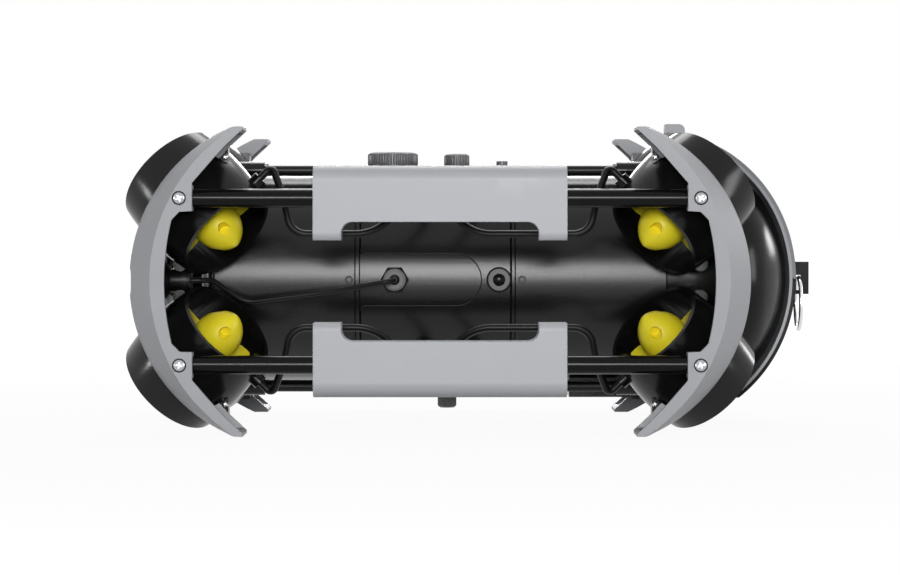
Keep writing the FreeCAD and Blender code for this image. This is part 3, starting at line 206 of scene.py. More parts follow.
def coated_metal(name, colour, roughness, specular=0.4, metallic=0.0, painted_glint=0.04):
    """An anodised or coated metal: bead-blasted grain with painted glints as pale specks on it, a faint drawn
    direction and rubbed patches.
    """
    finish = Finish(name, metallic=metallic, specular=specular)
    grain = finish.noise(2200.0, detail=2.0)
    drawn = finish.noise(90.0, detail=3.0, stretch=(0.15, 1.0, 1.0))
    tone = finish.mix(drawn, shade(colour, 0.9), shade(colour, 1.1))
    # Pale specks on the fine grain are painted glints; the grain itself also gives the bump.
    finish.feed("Base Color", finish.mix(finish.ramp(grain, 0.62, 0.75) * painted_glint, tone, (0.6, 0.6, 0.62)))
    rubbed = finish.ramp(finish.noise(30.0, detail=5.0, roughness=0.65), 0.55, 0.7)
    finish.feed("Roughness", roughness + 0.04 * drawn - 0.015 * rubbed)
    finish.bump(grain, 0.000006)


def glossy(name, colour, roughness, specular):
    """A polished moulding or lacquer: slight waviness, fine dust and hairline wipe marks."""
    finish = Finish(name, specular=specular)
    dust = finish.ramp(finish.noise(3200.0, detail=1.0), 0.72, 0.8)
    wipes = finish.noise(160.0, detail=4.0, stretch=(1.0, 0.2, 0.7))
    finish.feed("Base Color", finish.mix(dust * 0.25, colour, (0.25, 0.25, 0.26)))
    finish.feed("Roughness", roughness + 0.05 * finish.ramp(wipes, 0.45, 0.7) + 0.2 * dust)
    finish.bump(finish.noise(60.0, detail=1.0), 0.00002)


def bright_metal(name, colour, roughness):
    """Polished stainless steel with fine turning lines and light tarnish."""
    finish = Finish(name, metallic=1.0)
    lines = finish.noise(1800.0, detail=2.0, stretch=(0.2, 1.0, 1.0))
    tarnish = finish.ramp(finish.noise(220.0, detail=4.0), 0.5, 0.72)
    finish.feed("Base Color", finish.mix(tarnish * 0.3, colour, shade(colour, 0.72)))
    finish.feed("Roughness", roughness + 0.08 * lines + 0.08 * tarnish)
    finish.bump(lines, 0.000004)


def clear_glass(name, tint):
    """Clean glass with a faint uneven tint and a few dull spots."""
    finish = Finish(name)
    finish.shader.inputs["Transmission Weight"].default_value = 1.0
    finish.shader.inputs["IOR"].default_value = 1.46
    finish.feed("Base Color", finish.mix(finish.noise(12.0, detail=1.0), tint, shade(tint, 0.96)))
    finish.feed("Roughness", 0.02 + 0.03 * finish.ramp(finish.noise(300.0, detail=3.0), 0.55, 0.75))


def dark_glass(name):
    """Coated lens glass: near black with a faint violet bloom."""
    finish = Finish(name, specular=0.6, coat=0.6, coat_roughness=0.03)
    bloom = finish.noise(140.0, detail=0.0)
    finish.feed("Base Color", finish.mix(bloom, (0.004, 0.003, 0.008), (0.010, 0.006, 0.022)))
    finish.feed("Roughness", 0.04 + 0.02 * bloom)


def printed_board(name):
    """Solder-mask green with lighter tracks."""
    finish = Finish(name)
    tracks = finish.ramp(finish.noise(320.0, detail=0.0, stretch=(1.0, 0.1, 1.0)), 0.5, 0.52)
    finish.feed("Base Color", finish.mix(tracks, (0.01, 0.09, 0.04), (0.02, 0.17, 0.07)))
    finish.feed("Roughness", 0.3 + 0.15 * tracks)


def make_finishes(colours):
    """Makes every finish of the vehicle under the name by which the pieces ask for it."""
    pale = colours.guard_colour
    polished = (0.003, 0.003, 0.0032)
    plain = (0.004, 0.004, 0.0043)
    soft = (0.004, 0.004, 0.0044)
    moulded("guard_grey", pale, 0.44)
    # guard_edge: the pale grey of the painted highlight on the strap's side faces; no guard uses it
    moulded("guard_edge", shade(pale, 0.62), 0.5)
    moulded("grip_grey", colours.grip_colour, 0.42)
    coated_metal("hull_black", colours.hull_colour, 0.25, specular=0.32)
    coated_metal("seam_black", (0.003, 0.003, 0.003), 0.6, specular=0.1)
    glossy("gloss_black", polished, 0.19, specular=0.16)
    moulded("duct_black", plain, 0.17, grain=1800.0, specular=0.24)
    glossy("rail_black", polished, 0.17, specular=0.13)
    coated_metal("rod_black", plain, 0.3, specular=0.2)
    moulded("propeller_yellow", colours.propeller_colour, 0.34, grain=1200.0, specular=0.35, mottling=0.03)
    coated_metal("motor_black", (0.008, 0.008, 0.009), 0.36, specular=0.25)
    moulded("cable_black", soft, 0.36, grain=2400.0, specular=0.2)
    moulded("seal_rubber", (0.006, 0.006, 0.006), 0.6, specular=0.2)
    coated_metal("face_grey", (0.105, 0.105, 0.11), 0.36, specular=0.3)
    bright_metal("screw_steel", (0.46, 0.47, 0.49), 0.24)
    bright_metal("bright_steel", (0.72, 0.73, 0.75), 0.2)
    coated_metal("cap_black", colours.cap_colour, 0.38, specular=0.5, metallic=0.35, painted_glint=0.1)
    moulded("strap_black", soft, 0.36, specular=0.13)
    clear_glass("dome_glass", (0.9, 0.95, 0.97))
    dark_glass("lens_glass")
    moulded("camera_black", (0.006, 0.006, 0.006), 0.55, specular=0.2)
    coated_metal("tray_metal", (0.5, 0.5, 0.52), 0.35, metallic=1.0)
    printed_board("board_green")
    moulded("battery_blue", (0.02, 0.07, 0.2), 0.4)
    coated_metal("lamp_mirror", (0.8, 0.8, 0.8), 0.12, metallic=1.0)
    moulded("lamp_chip", (0.85, 0.72, 0.2), 0.5)


def finish_of(name):
    """The material of a finish."""
    return FINISHES[name].material


def deselect():
    """Leaves edit mode and selects nothing."""
    if bpy.context.object and bpy.context.object.mode != "OBJECT":
        bpy.ops.object.mode_set(mode="OBJECT")
    bpy.ops.object.select_all(action="DESELECT")


def choose(obj):
    """Makes a piece the only selected one and the active one."""
    deselect()
    obj.select_set(True)
    bpy.context.view_layer.objects.active = obj


def edit(obj):
    """Opens a piece's mesh for editing."""
    choose(obj)
    bpy.ops.object.mode_set(mode="EDIT")


def leave_edit():
    bpy.ops.object.mode_set(mode="OBJECT")


def modify(obj, kind, **settings):
    """Adds a modifier and applies it."""
    choose(obj)
    modifier = obj.modifiers.new(kind.title(), kind)
    for key, value in settings.items():
        setattr(modifier, key, value)
    bpy.ops.object.modifier_apply(modifier=modifier.name)
    return obj


def smooth(obj, degrees):
    """Shades a piece smooth, apart from edges that turn by more than an angle."""
    choose(obj)
    bpy.ops.object.shade_smooth_by_angle(angle=math.radians(degrees))


def even_normals(obj):
    """Broad faces stay flat while the rounded edges between them turn smoothly."""
    modify(obj, "WEIGHTED_NORMAL", weight=60, keep_sharp=True)


def outward(obj):
    """Merges doubled points and turns every face outwards."""
    edit(obj)
    bpy.ops.mesh.select_all(action="SELECT")
    bpy.ops.mesh.remove_doubles(threshold=1e-6)
    bpy.ops.mesh.normals_make_consistent(inside=False)
    leave_edit()
    return obj


def settle(obj, body, finish, nodes=()):
    """Gives a piece its finish, puts it on its body and lets it stand for its CAD nodes."""
    obj.data.materials.clear()
    obj.data.materials.append(finish_of(finish))
    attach(obj, body)
    if nodes:
        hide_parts(*nodes)


def merged_copy(node, name):
    """A copy of a CAD node's mesh with its triangles joined into clean faces."""
    obj = bpy.data.objects.new(name, frame["nodes"][node].data.copy())
    bpy.context.scene.collection.objects.link(obj)
    choose(obj)
    if obj.data.has_custom_normals:
        bpy.ops.mesh.customdata_custom_splitnormals_clear()
    edit(obj)
    bpy.ops.mesh.select_all(action="SELECT")
    bpy.ops.mesh.remove_doubles(threshold=2e-6)
    bpy.ops.mesh.dissolve_limited(angle_limit=math.radians(0.6))
    leave_edit()
    return obj


def rounded(node, finish, edge, segments=2):
    """A CAD node with its sharp edges rounded by a moulding or machining radius, in millimetres."""
    obj = merged_copy(node, node + "_finished")
    if edge:
        modify(obj, "BEVEL", width=edge * MM, segments=segments, limit_method="ANGLE",
               angle_limit=math.radians(32.0), use_clamp_overlap=True, harden_normals=False)
    smooth(obj, 40.0)
    even_normals(obj)
    settle(obj, body_of_node(node), finish, [node])


def paint(node, finish):
    """A CAD node that keeps its own shape and gets its finish."""
    obj = frame["nodes"][node]
    obj.data.materials.clear()
    obj.data.materials.append(finish_of(finish))


def curve_points(centre, radius, start, end, count):
    """Points on a round corner of an outline, between two angles in degrees."""
    points = []
    for step in range(count + 1):
        angle = math.radians(start + (end - start) * step / count)
        points.append((centre[0] + radius * math.cos(angle), centre[1] + radius * math.sin(angle)))
    return points


def spun(name, outline, steps=96):
    """A turned piece about X, from an outline of (x, radius) points in millimetres that ends where it began."""
    deselect()
    start = outline[0]
    bpy.ops.mesh.primitive_plane_add(size=MM, location=(0, 0, 0))
    obj = bpy.context.object
    obj.name = name
    bpy.ops.object.mode_set(mode="EDIT")
    bpy.ops.mesh.select_all(action="SELECT")
    bpy.ops.mesh.merge(type="CENTER")
    bpy.ops.transform.translate(value=(start[0] * MM, 0, start[1] * MM))
    here = start
    for point in outline[1:]:
        step = ((point[0] - here[0]) * MM, 0, (point[1] - here[1]) * MM)
        bpy.ops.mesh.extrude_vertices_move(TRANSFORM_OT_translate={"value": step})
        here = point
    bpy.ops.mesh.select_all(action="SELECT")
    bpy.ops.mesh.spin(steps=steps, angle=2 * math.pi, center=(0, 0, 0), axis=(1, 0, 0))
    leave_edit()
    if len(obj.data.polygons) < steps:
        raise RuntimeError("%s has no turned faces" % name)
    return outward(obj)


def moved(obj, matrix):
    """Puts a piece's place into its mesh."""
    obj.data.transform(matrix)
    return obj


def at(x, y, z):
    """The matrix that takes a piece to a place, given as place() takes it."""
    return Matrix.Translation(place(x, y, z))


def outwards(side):
    """The turn that makes a turned piece look to port (1) or to starboard (-1)."""
    return Matrix.Rotation(math.radians(90 * side), 4, "Z")


def turned(degrees):
    """A turn about X."""
    return Matrix.Rotation(math.radians(degrees), 4, "X")


def twin(obj, name, matrix):
    """A moved copy of a piece with its own mesh."""
    copy = obj.copy()
    copy.data = obj.data.copy()
    copy.name = name
    bpy.context.scene.collection.objects.link(copy)
    return moved(copy, matrix)


def joined(parts, name):
    """Several pieces of one moulding as one object."""
    deselect()
    for part in parts:
        part.select_set(True)
    bpy.context.view_layer.objects.active = parts[0]
    bpy.ops.object.join()
    parts[0].name = name
    return parts[0]


def dome_points(base, radius, rise, count=16):
    """Outline points of a round cap from its edge to its tip on the axis."""
    sphere = (radius ** 2 + rise ** 2) / (2 * rise)
    span = math.degrees(math.asin(radius / sphere))
    points = curve_points((base + rise - sphere, 0), sphere, span, 0, count)
    return points[:-1] + [(base + rise, 0)]


class VehicleSizes(bpy.types.PropertyGroup):
    """Sizes and colours of the dressed vehicle that a user would change."""

    guard_edge: FloatProperty(
        name="Guard Edge", description="Moulding radius along the edges of the guards",
        default=0.0009, min=0.0, max=0.002, unit="LENGTH", precision=4)
    grip_edge: FloatProperty(
        name="Grip Edge", description="Moulding radius along the edges of the hand grips",
        default=0.0014, min=0.0, max=0.002, unit="LENGTH", precision=4)
    screw_head: FloatProperty(
        name="Screw Head", description="Radius of the round-headed rail screws",
        default=0.0032, min=0.002, max=0.005, unit="LENGTH", precision=4)
    hull_screws: IntProperty(
        name="Seam Screws", description="Flush screws round each hull seam", default=8, min=2, max=16)
    guard_colour: FloatVectorProperty(
        name="Guard Colour", description="Colour of the guards", subtype="COLOR",
        default=(0.375, 0.382, 0.402), min=0.0, max=1.0)
    grip_colour: FloatVectorProperty(
        name="Grip Colour", description="Colour of the hand grips", subtype="COLOR",
        default=(0.47, 0.48, 0.505), min=0.0, max=1.0)
    hull_colour: FloatVectorProperty(
        name="Hull Colour", description="Colour of the pressure hull", subtype="COLOR",
        default=(0.0035, 0.0035, 0.0038), min=0.0, max=1.0)
    cap_colour: FloatVectorProperty(
        name="Cap Colour", description="Colour of the knurled caps", subtype="COLOR",
        default=(0.12, 0.12, 0.125), min=0.0, max=1.0)
    propeller_colour: FloatVectorProperty(
        name="Propeller Colour", description="Colour of the propellers", subtype="COLOR",
        default=(0.90, 0.76, 0.025), min=0.0, max=1.0)
    side_light: FloatProperty(
        name="Side Light", description="Brightness of the soft light on the port side",
        default=23.0, min=0.0, max=80.0)
    top_light: FloatProperty(
        name="Top Light", description="Brightness of the soft light above the vehicle",
        default=5.5, min=0.0, max=60.0)
    end_light: FloatProperty(
        name="End Light", description="Brightness of the soft lights at both ends",
        default=8.0, min=0.0, max=60.0)


def sizes():
    """The values that the panel shows."""
    return bpy.context.scene.vehicle_sizes


class VEHICLE_OT_stage(bpy.types.Operator):
    """Adds the camera, the soft lights, the white surroundings and the pale floor"""
    bl_idname = "vehicle.stage"
    bl_label = "Studio and Camera"

    def execute(self, context):
        context.scene.view_settings.view_transform = "Standard"
        add_camera()
        add_surroundings()
        add_lights(sizes())
        add_floor()
        return {"FINISHED"}


def add_camera():
    """The photograph's view: from port, a little above the hull axis, with a long lens."""
    focal_pixels = 3143.0
    image_width = 900.0
    sensor = 36.0
    pitch = math.radians(1.03)
    behind_middle, distance, height = -5.3, 1803.0, 27.0
    data = bpy.data.cameras.new("camera")
    data.sensor_width = sensor
    data.lens = focal_pixels / image_width * sensor
    data.clip_start = 0.05
    data.clip_end = 50.0
    camera = bpy.data.objects.new("camera", data)
    camera.location = place(behind_middle, distance, height)
    aim = Vector((0.0, -math.cos(pitch), -math.sin(pitch)))
    camera.rotation_euler = aim.to_track_quat("-Z", "Y").to_euler()
    bpy.context.scene.collection.objects.link(camera)
    bpy.context.scene.camera = camera


def seen_share(tree):
    """1 for what is seen directly, in gloss or through glass, and 0 for the light on the vehicle."""
    path = tree.nodes.new("ShaderNodeLightPath")
    share = path.outputs["Is Camera Ray"]
    for ray in ("Is Glossy Ray", "Is Transmission Ray"):
        either = tree.nodes.new("ShaderNodeMath")
        either.operation = "MAXIMUM"
        tree.links.new(share, either.inputs[0])
        tree.links.new(path.outputs[ray], either.inputs[1])
        share = either.outputs[0]
    return share


def add_surroundings():
    """White surroundings for what is seen, and dim ones for the light on the vehicle."""
    world = bpy.data.worlds.new("surroundings")
    bpy.context.scene.world = world
    world.use_nodes = True
    tree = world.node_tree
    tree.nodes.clear()
    strength = tree.nodes.new("ShaderNodeMapRange")
    strength.inputs["To Min"].default_value = 0.1
    strength.inputs["To Max"].default_value = 1.0
    tree.links.new(seen_share(tree), strength.inputs["Value"])
    background = tree.nodes.new("ShaderNodeBackground")
    background.inputs["Color"].default_value = (1.0, 1.0, 1.0, 1.0)
    tree.links.new(strength.outputs[0], background.inputs["Strength"])
    output = tree.nodes.new("ShaderNodeOutputWorld")
    tree.links.new(background.outputs[0], output.inputs["Surface"])


def soft_box(name, centre, aim, width, height, radiance):
    """A rectangular soft light with a given brightness, pointed at a place."""
    data = bpy.data.lights.new(name, "AREA")
    data.shape = "RECTANGLE"
    data.size = width
    data.size_y = height
    data.energy = radiance * math.pi * width * height
    light = bpy.data.objects.new(name, data)
    light.location = centre
    light.rotation_euler = (aim - centre).to_track_quat("-Z", "Y").to_euler()
    bpy.context.scene.collection.objects.link(light)
    light.visible_camera = False


def add_lights(values):
    """The soft lights: place from the middle of the vehicle and size in metres, then the brightness."""
    lights = (
        ("port_light", (0.0, 2.0, 0.30), (0.62, 0.5), values.side_light),
        ("starboard_light", (0.0, -2.0, 0.5), (0.7, 0.6), values.side_light * 0.4),
        ("top_light", (0.0, -0.97, 1.39), (1.4, 0.7), values.top_light),
        ("front_light", (1.94, 0.42, 0.0), (0.2, 0.44), values.end_light * 3.0),
        ("rear_light", (-1.85, 0.65, 0.35), (0.45, 0.8), values.end_light),
        ("rim_light", (-1.6, -1.14, 0.4), (0.28, 0.3), values.end_light * 1.5),
    )
    middle = place(0, 0, 0)
    for name, offset, (width, height), radiance in lights:
        soft_box(name, middle + Vector(offset), middle, width, height, radiance)


def add_floor():
    """A pale floor that shows white, with only the vehicle's soft shadow."""
    deselect()
    bpy.ops.mesh.primitive_plane_add(size=60.0, location=(0, 0, 0))
    floor = bpy.context.object
    floor.name = "floor"
    bpy.ops.object.mode_set(mode="EDIT")
    bpy.ops.mesh.select_all(action="SELECT")
    bpy.ops.mesh.subdivide(number_cuts=4)
    leave_edit()
    finish = Finish("floor_white", specular=0.0)
    finish.feed("Base Color", finish.mix(finish.noise(3.0), (0.31, 0.31, 0.31), (0.33, 0.33, 0.33)))
    finish.feed("Roughness", 1.0)
    tree = finish.tree
    white_near = 0.86
    reach = finish.node("ShaderNodeVectorMath", {"operation": "LENGTH"}, {0: finish.place}, output=1)
    away = finish.ramp(reach, 0.35, 1.6)
    share = Link(finish, seen_share(tree)) * (white_near + (1.0 - white_near) * away)
    white = tree.nodes.new("ShaderNodeEmission")
    white.inputs["Color"].default_value = (1.0, 1.0, 1.0, 1.0)
    white.inputs["Strength"].default_value = 1.1
    blend = tree.nodes.new("ShaderNodeMixShader")
    tree.links.new(share.socket, blend.inputs[0])
    tree.links.new(finish.shader.outputs[0], blend.inputs[1])
    tree.links.new(white.outputs[0], blend.inputs[2])
    tree.links.new(blend.outputs[0], tree.nodes["Material Output"].inputs["Surface"])
    floor.data.materials.append(finish.material)


class VEHICLE_OT_hull(bpy.types.Operator):
    """Models the pressure hull sections with their seams and flush screws"""
    bl_idname = "vehicle.hull"
    bl_label = "Pressure Hull"

    def execute(self, context):
        seam_to_screws = 6.1
        self.section("front_hull", FRONT_SEAM, HULL_END, groove=FRONT_SEAM + 2.8)
        self.section("rear_hull", -HULL_END, REAR_SEAM, groove=REAR_SEAM - 2.3)
        rounded("middle_hull", "hull_black", 0.55, segments=3)
        rounded("nose_cap", "hull_black", 0.3)
        for name in ("joint_sleeves", "electronics_tray"):
            paint(name, "tray_metal")
        paint("hull_seals", "seal_rubber")
        paint("control_board", "board_green")
        paint("battery_pack", "battery_blue")
        self.panel_beads()
        self.flush_screws(FRONT_SEAM + seam_to_screws)
        self.flush_screws(REAR_SEAM - seam_to_screws)
        return {"FINISHED"}

    def section(self, node, start, end, groove):
        """One smooth length of hull with chamfered ends and a fine turned line beside its seam."""
        radius = HULL_RADIUS
        line = 0.35
        chamfer = 0.6
        outline = [
            (start, HULL_INNER_RADIUS), (start, radius - chamfer), (start + chamfer, radius),
            (groove - line, radius), (groove, radius - line), (groove + line, radius),
            (end - chamfer, radius), (end, radius - chamfer), (end, HULL_INNER_RADIUS),
            (start, HULL_INNER_RADIUS),
        ]
        obj = spun(node + "_finished", outline, steps=144)
        moved(obj, at(0, 0, 0))
        smooth(obj, 25.0)
        settle(obj, ROOT, "hull_black", [node])

    def panel_beads(self):
        """The fine raised bead round each side panel, open at the seam with flared ends."""
        bead_radius = 0.32
        half_height = 14.5
        bend_x = -8.3
        flare = ((0.3, 2.2), (0.9, 0.7), (2.6, 0.0))
        upper = [(FRONT_SEAM - back, half_height + spread) for back, spread in flare]
        lower = [(x, -z) for x, z in reversed(upper)]
        outline = upper + curve_points((bend_x, 0.0), half_height, 90.0, 270.0, 24) + lower
        beads = []
        for side in (1, -1):
            path = bpy.data.curves.new("bead", "CURVE")
            path.dimensions = "3D"
            path.bevel_depth = bead_radius * MM
            path.bevel_resolution = 3
            path.use_fill_caps = True
            line = path.splines.new("POLY")
            line.points.add(len(outline) - 1)
            for point, (x, z) in zip(line.points, outline):
                point.co = (*place(x, side * math.sqrt(HULL_RADIUS ** 2 - z ** 2), z), 1.0)
            bead = bpy.data.objects.new("bead", path)
            bpy.context.scene.collection.objects.link(bead)
            choose(bead)
            bpy.ops.object.convert(target="MESH")
            beads.append(bpy.context.object)
        obj = joined(beads, "panel_beads")
        smooth(obj, 60.0)
        settle(obj, ROOT, "motor_black")

    def flush_screws(self, x):
        """Small socket screws round the hull, level with its face."""
        outline = [(-1.2, 0.0), (-1.2, 2.2), (0.05, 2.2), (0.25, 2.0), (0.25, 1.1), (-0.9, 1.0), (-0.9, 0.0)]
        screws = []
        count = sizes().hull_screws
        out = Matrix.Translation((0, HULL_RADIUS * MM, 0)) @ outwards(1)
        for step in range(count):
            screw = spun("screw", outline, steps=24)
            screws.append(moved(screw, at(x, 0, 0) @ turned(360.0 * step / count) @ out))
        obj = joined(screws, "seam_screws_%s" % ("front" if x > 0 else "rear"))
        smooth(obj, 30.0)
        settle(obj, ROOT, "motor_black")


class VEHICLE_OT_camera_end(bpy.types.Operator):
    """Models the camera window, its bezel and the camera behind it"""
    bl_idname = "vehicle.camera_end"
    bl_label = "Camera Window"

    def execute(self, context):
        rounded("camera_bezel", "gloss_black", 0.5)
        rounded("camera_module", "camera_black", 0.3)
        self.window()
        self.lens()
        self.bezel_screws()
        return {"FINISHED"}

    def window(self):
        """The glass dome: a shallow cap with an even wall and a straight rim in the bezel."""
        radius = 30.0
        rise = 12.6
        wall = 2.5
        rim_end = BEZEL_FACE - 3.0
        outer = dome_points(BEZEL_FACE, radius, rise)
        inner = dome_points(BEZEL_FACE - 0.6, radius - wall, rise - wall)
        outline = outer[::-1] + [(rim_end, radius), (rim_end, radius - wall)] + inner
        glass = spun("camera_dome_finished", outline, steps=128)
        moved(glass, at(0, 0, 0))
        smooth(glass, 30.0)
        settle(glass, ROOT, "dome_glass", ["camera_dome"])

    def lens(self):
        """The camera's front glass, with a stepped barrel ring."""
        face = CAMERA_FACE
        radius = 8.6
        outline = [(face - 2.4, 0), (face - 2.4, radius)] + dome_points(face - 0.6, radius, 2.6)
        glass = moved(spun("camera_lens_finished", outline, steps=64), at(0, 0, 0))
        smooth(glass, 30.0)
        settle(glass, ROOT, "lens_glass", ["camera_lens"])
        outline = [
            (face - 0.5, 9.0), (face + 0.5, 9.3), (face + 0.5, 10.4), (face - 0.1, 10.9),
            (face - 0.1, 12.4), (face + 0.3, 12.8), (face - 0.6, 13.9), (face - 0.9, 13.9),
            (face - 0.9, 9.0), (face - 0.5, 9.0),
        ]
        barrel = moved(spun("lens_barrel", outline), at(0, 0, 0))
        smooth(barrel, 25.0)
        settle(barrel, ROOT, "motor_black")

    def bezel_screws(self):
        """Small socket screws round the bezel."""
        count = 6
        circle_radius = 32.8
        outline = [(-1.0, 0), (-1.0, 1.7), (0.1, 1.7), (0.3, 1.5), (0.3, 0.9), (-0.6, 0.8), (-0.6, 0)]
        out = Matrix.Translation((0, circle_radius * MM, 0))
        screws = []
        for step in range(count):
            screw = spun("screw", outline, steps=24)
            screws.append(moved(screw, at(BEZEL_FACE, 0, 0) @ turned(360.0 * (step + 0.5) / count) @ out))
        obj = joined(screws, "bezel_screws")
        smooth(obj, 30.0)
        settle(obj, ROOT, "bright_steel")


class VEHICLE_OT_guards(bpy.types.Operator):
    """Rounds the edges of the guards and gives them their moulded finish"""
    bl_idname = "vehicle.guards"
    bl_label = "Guards"

    def execute(self, context):
        edge = sizes().guard_edge / MM
        for end in ("front", "rear"):
            for side in ("port", "starboard"):
                rounded("%s_%s_guard" % (end, side), "guard_grey", edge)
        return {"FINISHED"}


class VEHICLE_OT_rail_screws(bpy.types.Operator):
    """Models the round-headed screws with their cross recesses"""
    bl_idname = "vehicle.rail_screws"
    bl_label = "Rail Screws"

    def execute(self, context):
        head = sizes().screw_head / MM
        rail_ends = self.corner_places(138.7, 133.5, RAIL_Z)
        duct_blocks = self.corner_places(116.7, 98.0, 67.1)
        self.screws("rail_screws_finished", head, rail_ends, ["rail_screws"])
        self.seats(head, rail_ends)
        self.screws("duct_block_screws", 1.7, duct_blocks)
        return {"FINISHED"}

    def corner_places(self, x, y, z):
        """A place in each of the eight corners, looking outwards."""
        return [at(along, side * y, level) @ outwards(side)
                for along in (-x, x) for side in (1, -1) for level in (-z, z)]

    def screws(self, name, head, places, nodes=()):
        """Like screws at several places, each with its cross turned its own way."""
        first_turn = 20
        next_turn = 37
        model = self.cross_head(head)
        screws = []
        for count, matrix in enumerate(places):
            screws.append(twin(model, "screw", matrix @ turned(first_turn + next_turn * count)))
        bpy.data.objects.remove(model)
        obj = joined(screws, name)
        smooth(obj, 35.0)
        settle(obj, ROOT, "screw_steel", nodes)

    def seats(self, head, places):
        """The dark washers that show as a thin ring round each head."""
        inner = head - 0.3
        outer = head + 0.55
        outline = [(-0.4, inner), (-0.4, outer), (0.1, outer), (0.22, head + 0.4), (0.22, inner), (-0.4, inner)]
        model = spun("seat_model", outline, steps=48)
        seats = [twin(model, "seat", matrix) for matrix in places]
        bpy.data.objects.remove(model)
        obj = joined(seats, "screw_seats")
        smooth(obj, 35.0)
        settle(obj, ROOT, "seal_rubber")

    def cross_head(self, head):
        """A domed head on its shank, cut by two tapered bars."""
        rise = head * 0.5
        shank = head * 0.48
        outline = [(-head * 1.1, 0), (-head * 1.1, shank), (0.0, shank)] + dome_points(0, head, rise)
        screw = spun("screw_model", outline, steps=48)
        for turn in (0, 90):
            deselect()
            bpy.ops.mesh.primitive_cube_add(size=1.0, location=(0, 0, 0))
            bar = bpy.context.object
            bar.scale = (head * 0.31 * MM, head * 1.1 * MM, head * 0.22 * MM)
            bar.rotation_euler = (math.radians(turn), 0, 0)
            bar.location = (rise * MM, 0, 0)
            bpy.ops.object.transform_apply(location=True, rotation=True, scale=True)
            modify(screw, "BOOLEAN", operation="DIFFERENCE", object=bar, solver="EXACT")
            bpy.data.objects.remove(bar)
        return screw


class VEHICLE_OT_rails(bpy.types.Operator):
    """Models the round rails and tie rods as smooth bars"""
    bl_idname = "vehicle.rails"
    bl_label = "Rails and Tie Rods"

    def execute(self, context):
        self.bars("rails", "rail_black", RAIL_RADIUS, RAIL_HALF_LENGTH, RAIL_Y, RAIL_Z)
        self.bars("tie_rods", "rod_black", radius=2.85, half_length=113.5, y=20.0, z=61.3)
        return {"FINISHED"}

    def bars(self, node, finish, radius, half_length, y, z):
        """Four round bars along the vehicle, with chamfered ends."""
        edge = 0.5
        outline = [
            (-half_length, 0), (-half_length, radius - edge), (-half_length + edge, radius),
            (half_length - edge, radius), (half_length, radius - edge), (half_length, 0),
        ]
        bars = []
        for side in (1, -1):
            for level in (1, -1):
                bars.append(moved(spun("bar", outline, steps=48), at(0, side * y, level * z)))
        obj = joined(bars, node + "_finished")
        smooth(obj, 30.0)
        settle(obj, ROOT, finish, [node])


class VEHICLE_OT_grips(bpy.types.Operator):
    """Rounds the edges of the hand grips"""
    bl_idname = "vehicle.grips"
    bl_label = "Hand Grips"

    def execute(self, context):
        edge = sizes().grip_edge / MM
        for side in ("port", "starboard"):
            for level in ("upper", "lower"):
                rounded("%s_%s_grip" % (side, level), "grip_grey", edge, segments=4)
        return {"FINISHED"}


class VEHICLE_OT_thrusters(bpy.types.Operator):
    """Finishes the ducts, motors and propellers"""
    bl_idname = "vehicle.thrusters"
    bl_label = "Thrusters"

    def execute(self, context):
        for corner in CORNERS:
            rounded("%s_%s_%s_duct" % corner, "duct_black", 0.5)
            rounded("%s_%s_%s_propeller" % corner, "propeller_yellow", 0.25)
        rounded("motor_brackets", "duct_black", 0.2)
        rounded("thruster_motors", "motor_black", 0.3)
        return {"FINISHED"}


class VEHICLE_OT_frames(bpy.types.Operator):
    """Finishes the frames between the ducts and the hull"""
    bl_idname = "vehicle.frames"
    bl_label = "Frames"

    def execute(self, context):
        rounded("front_frames", "duct_black", 0.4)
        rounded("rear_frames", "duct_black", 0.4)
        rounded("hinge_pins", "bright_steel", 0.2)
        return {"FINISHED"}


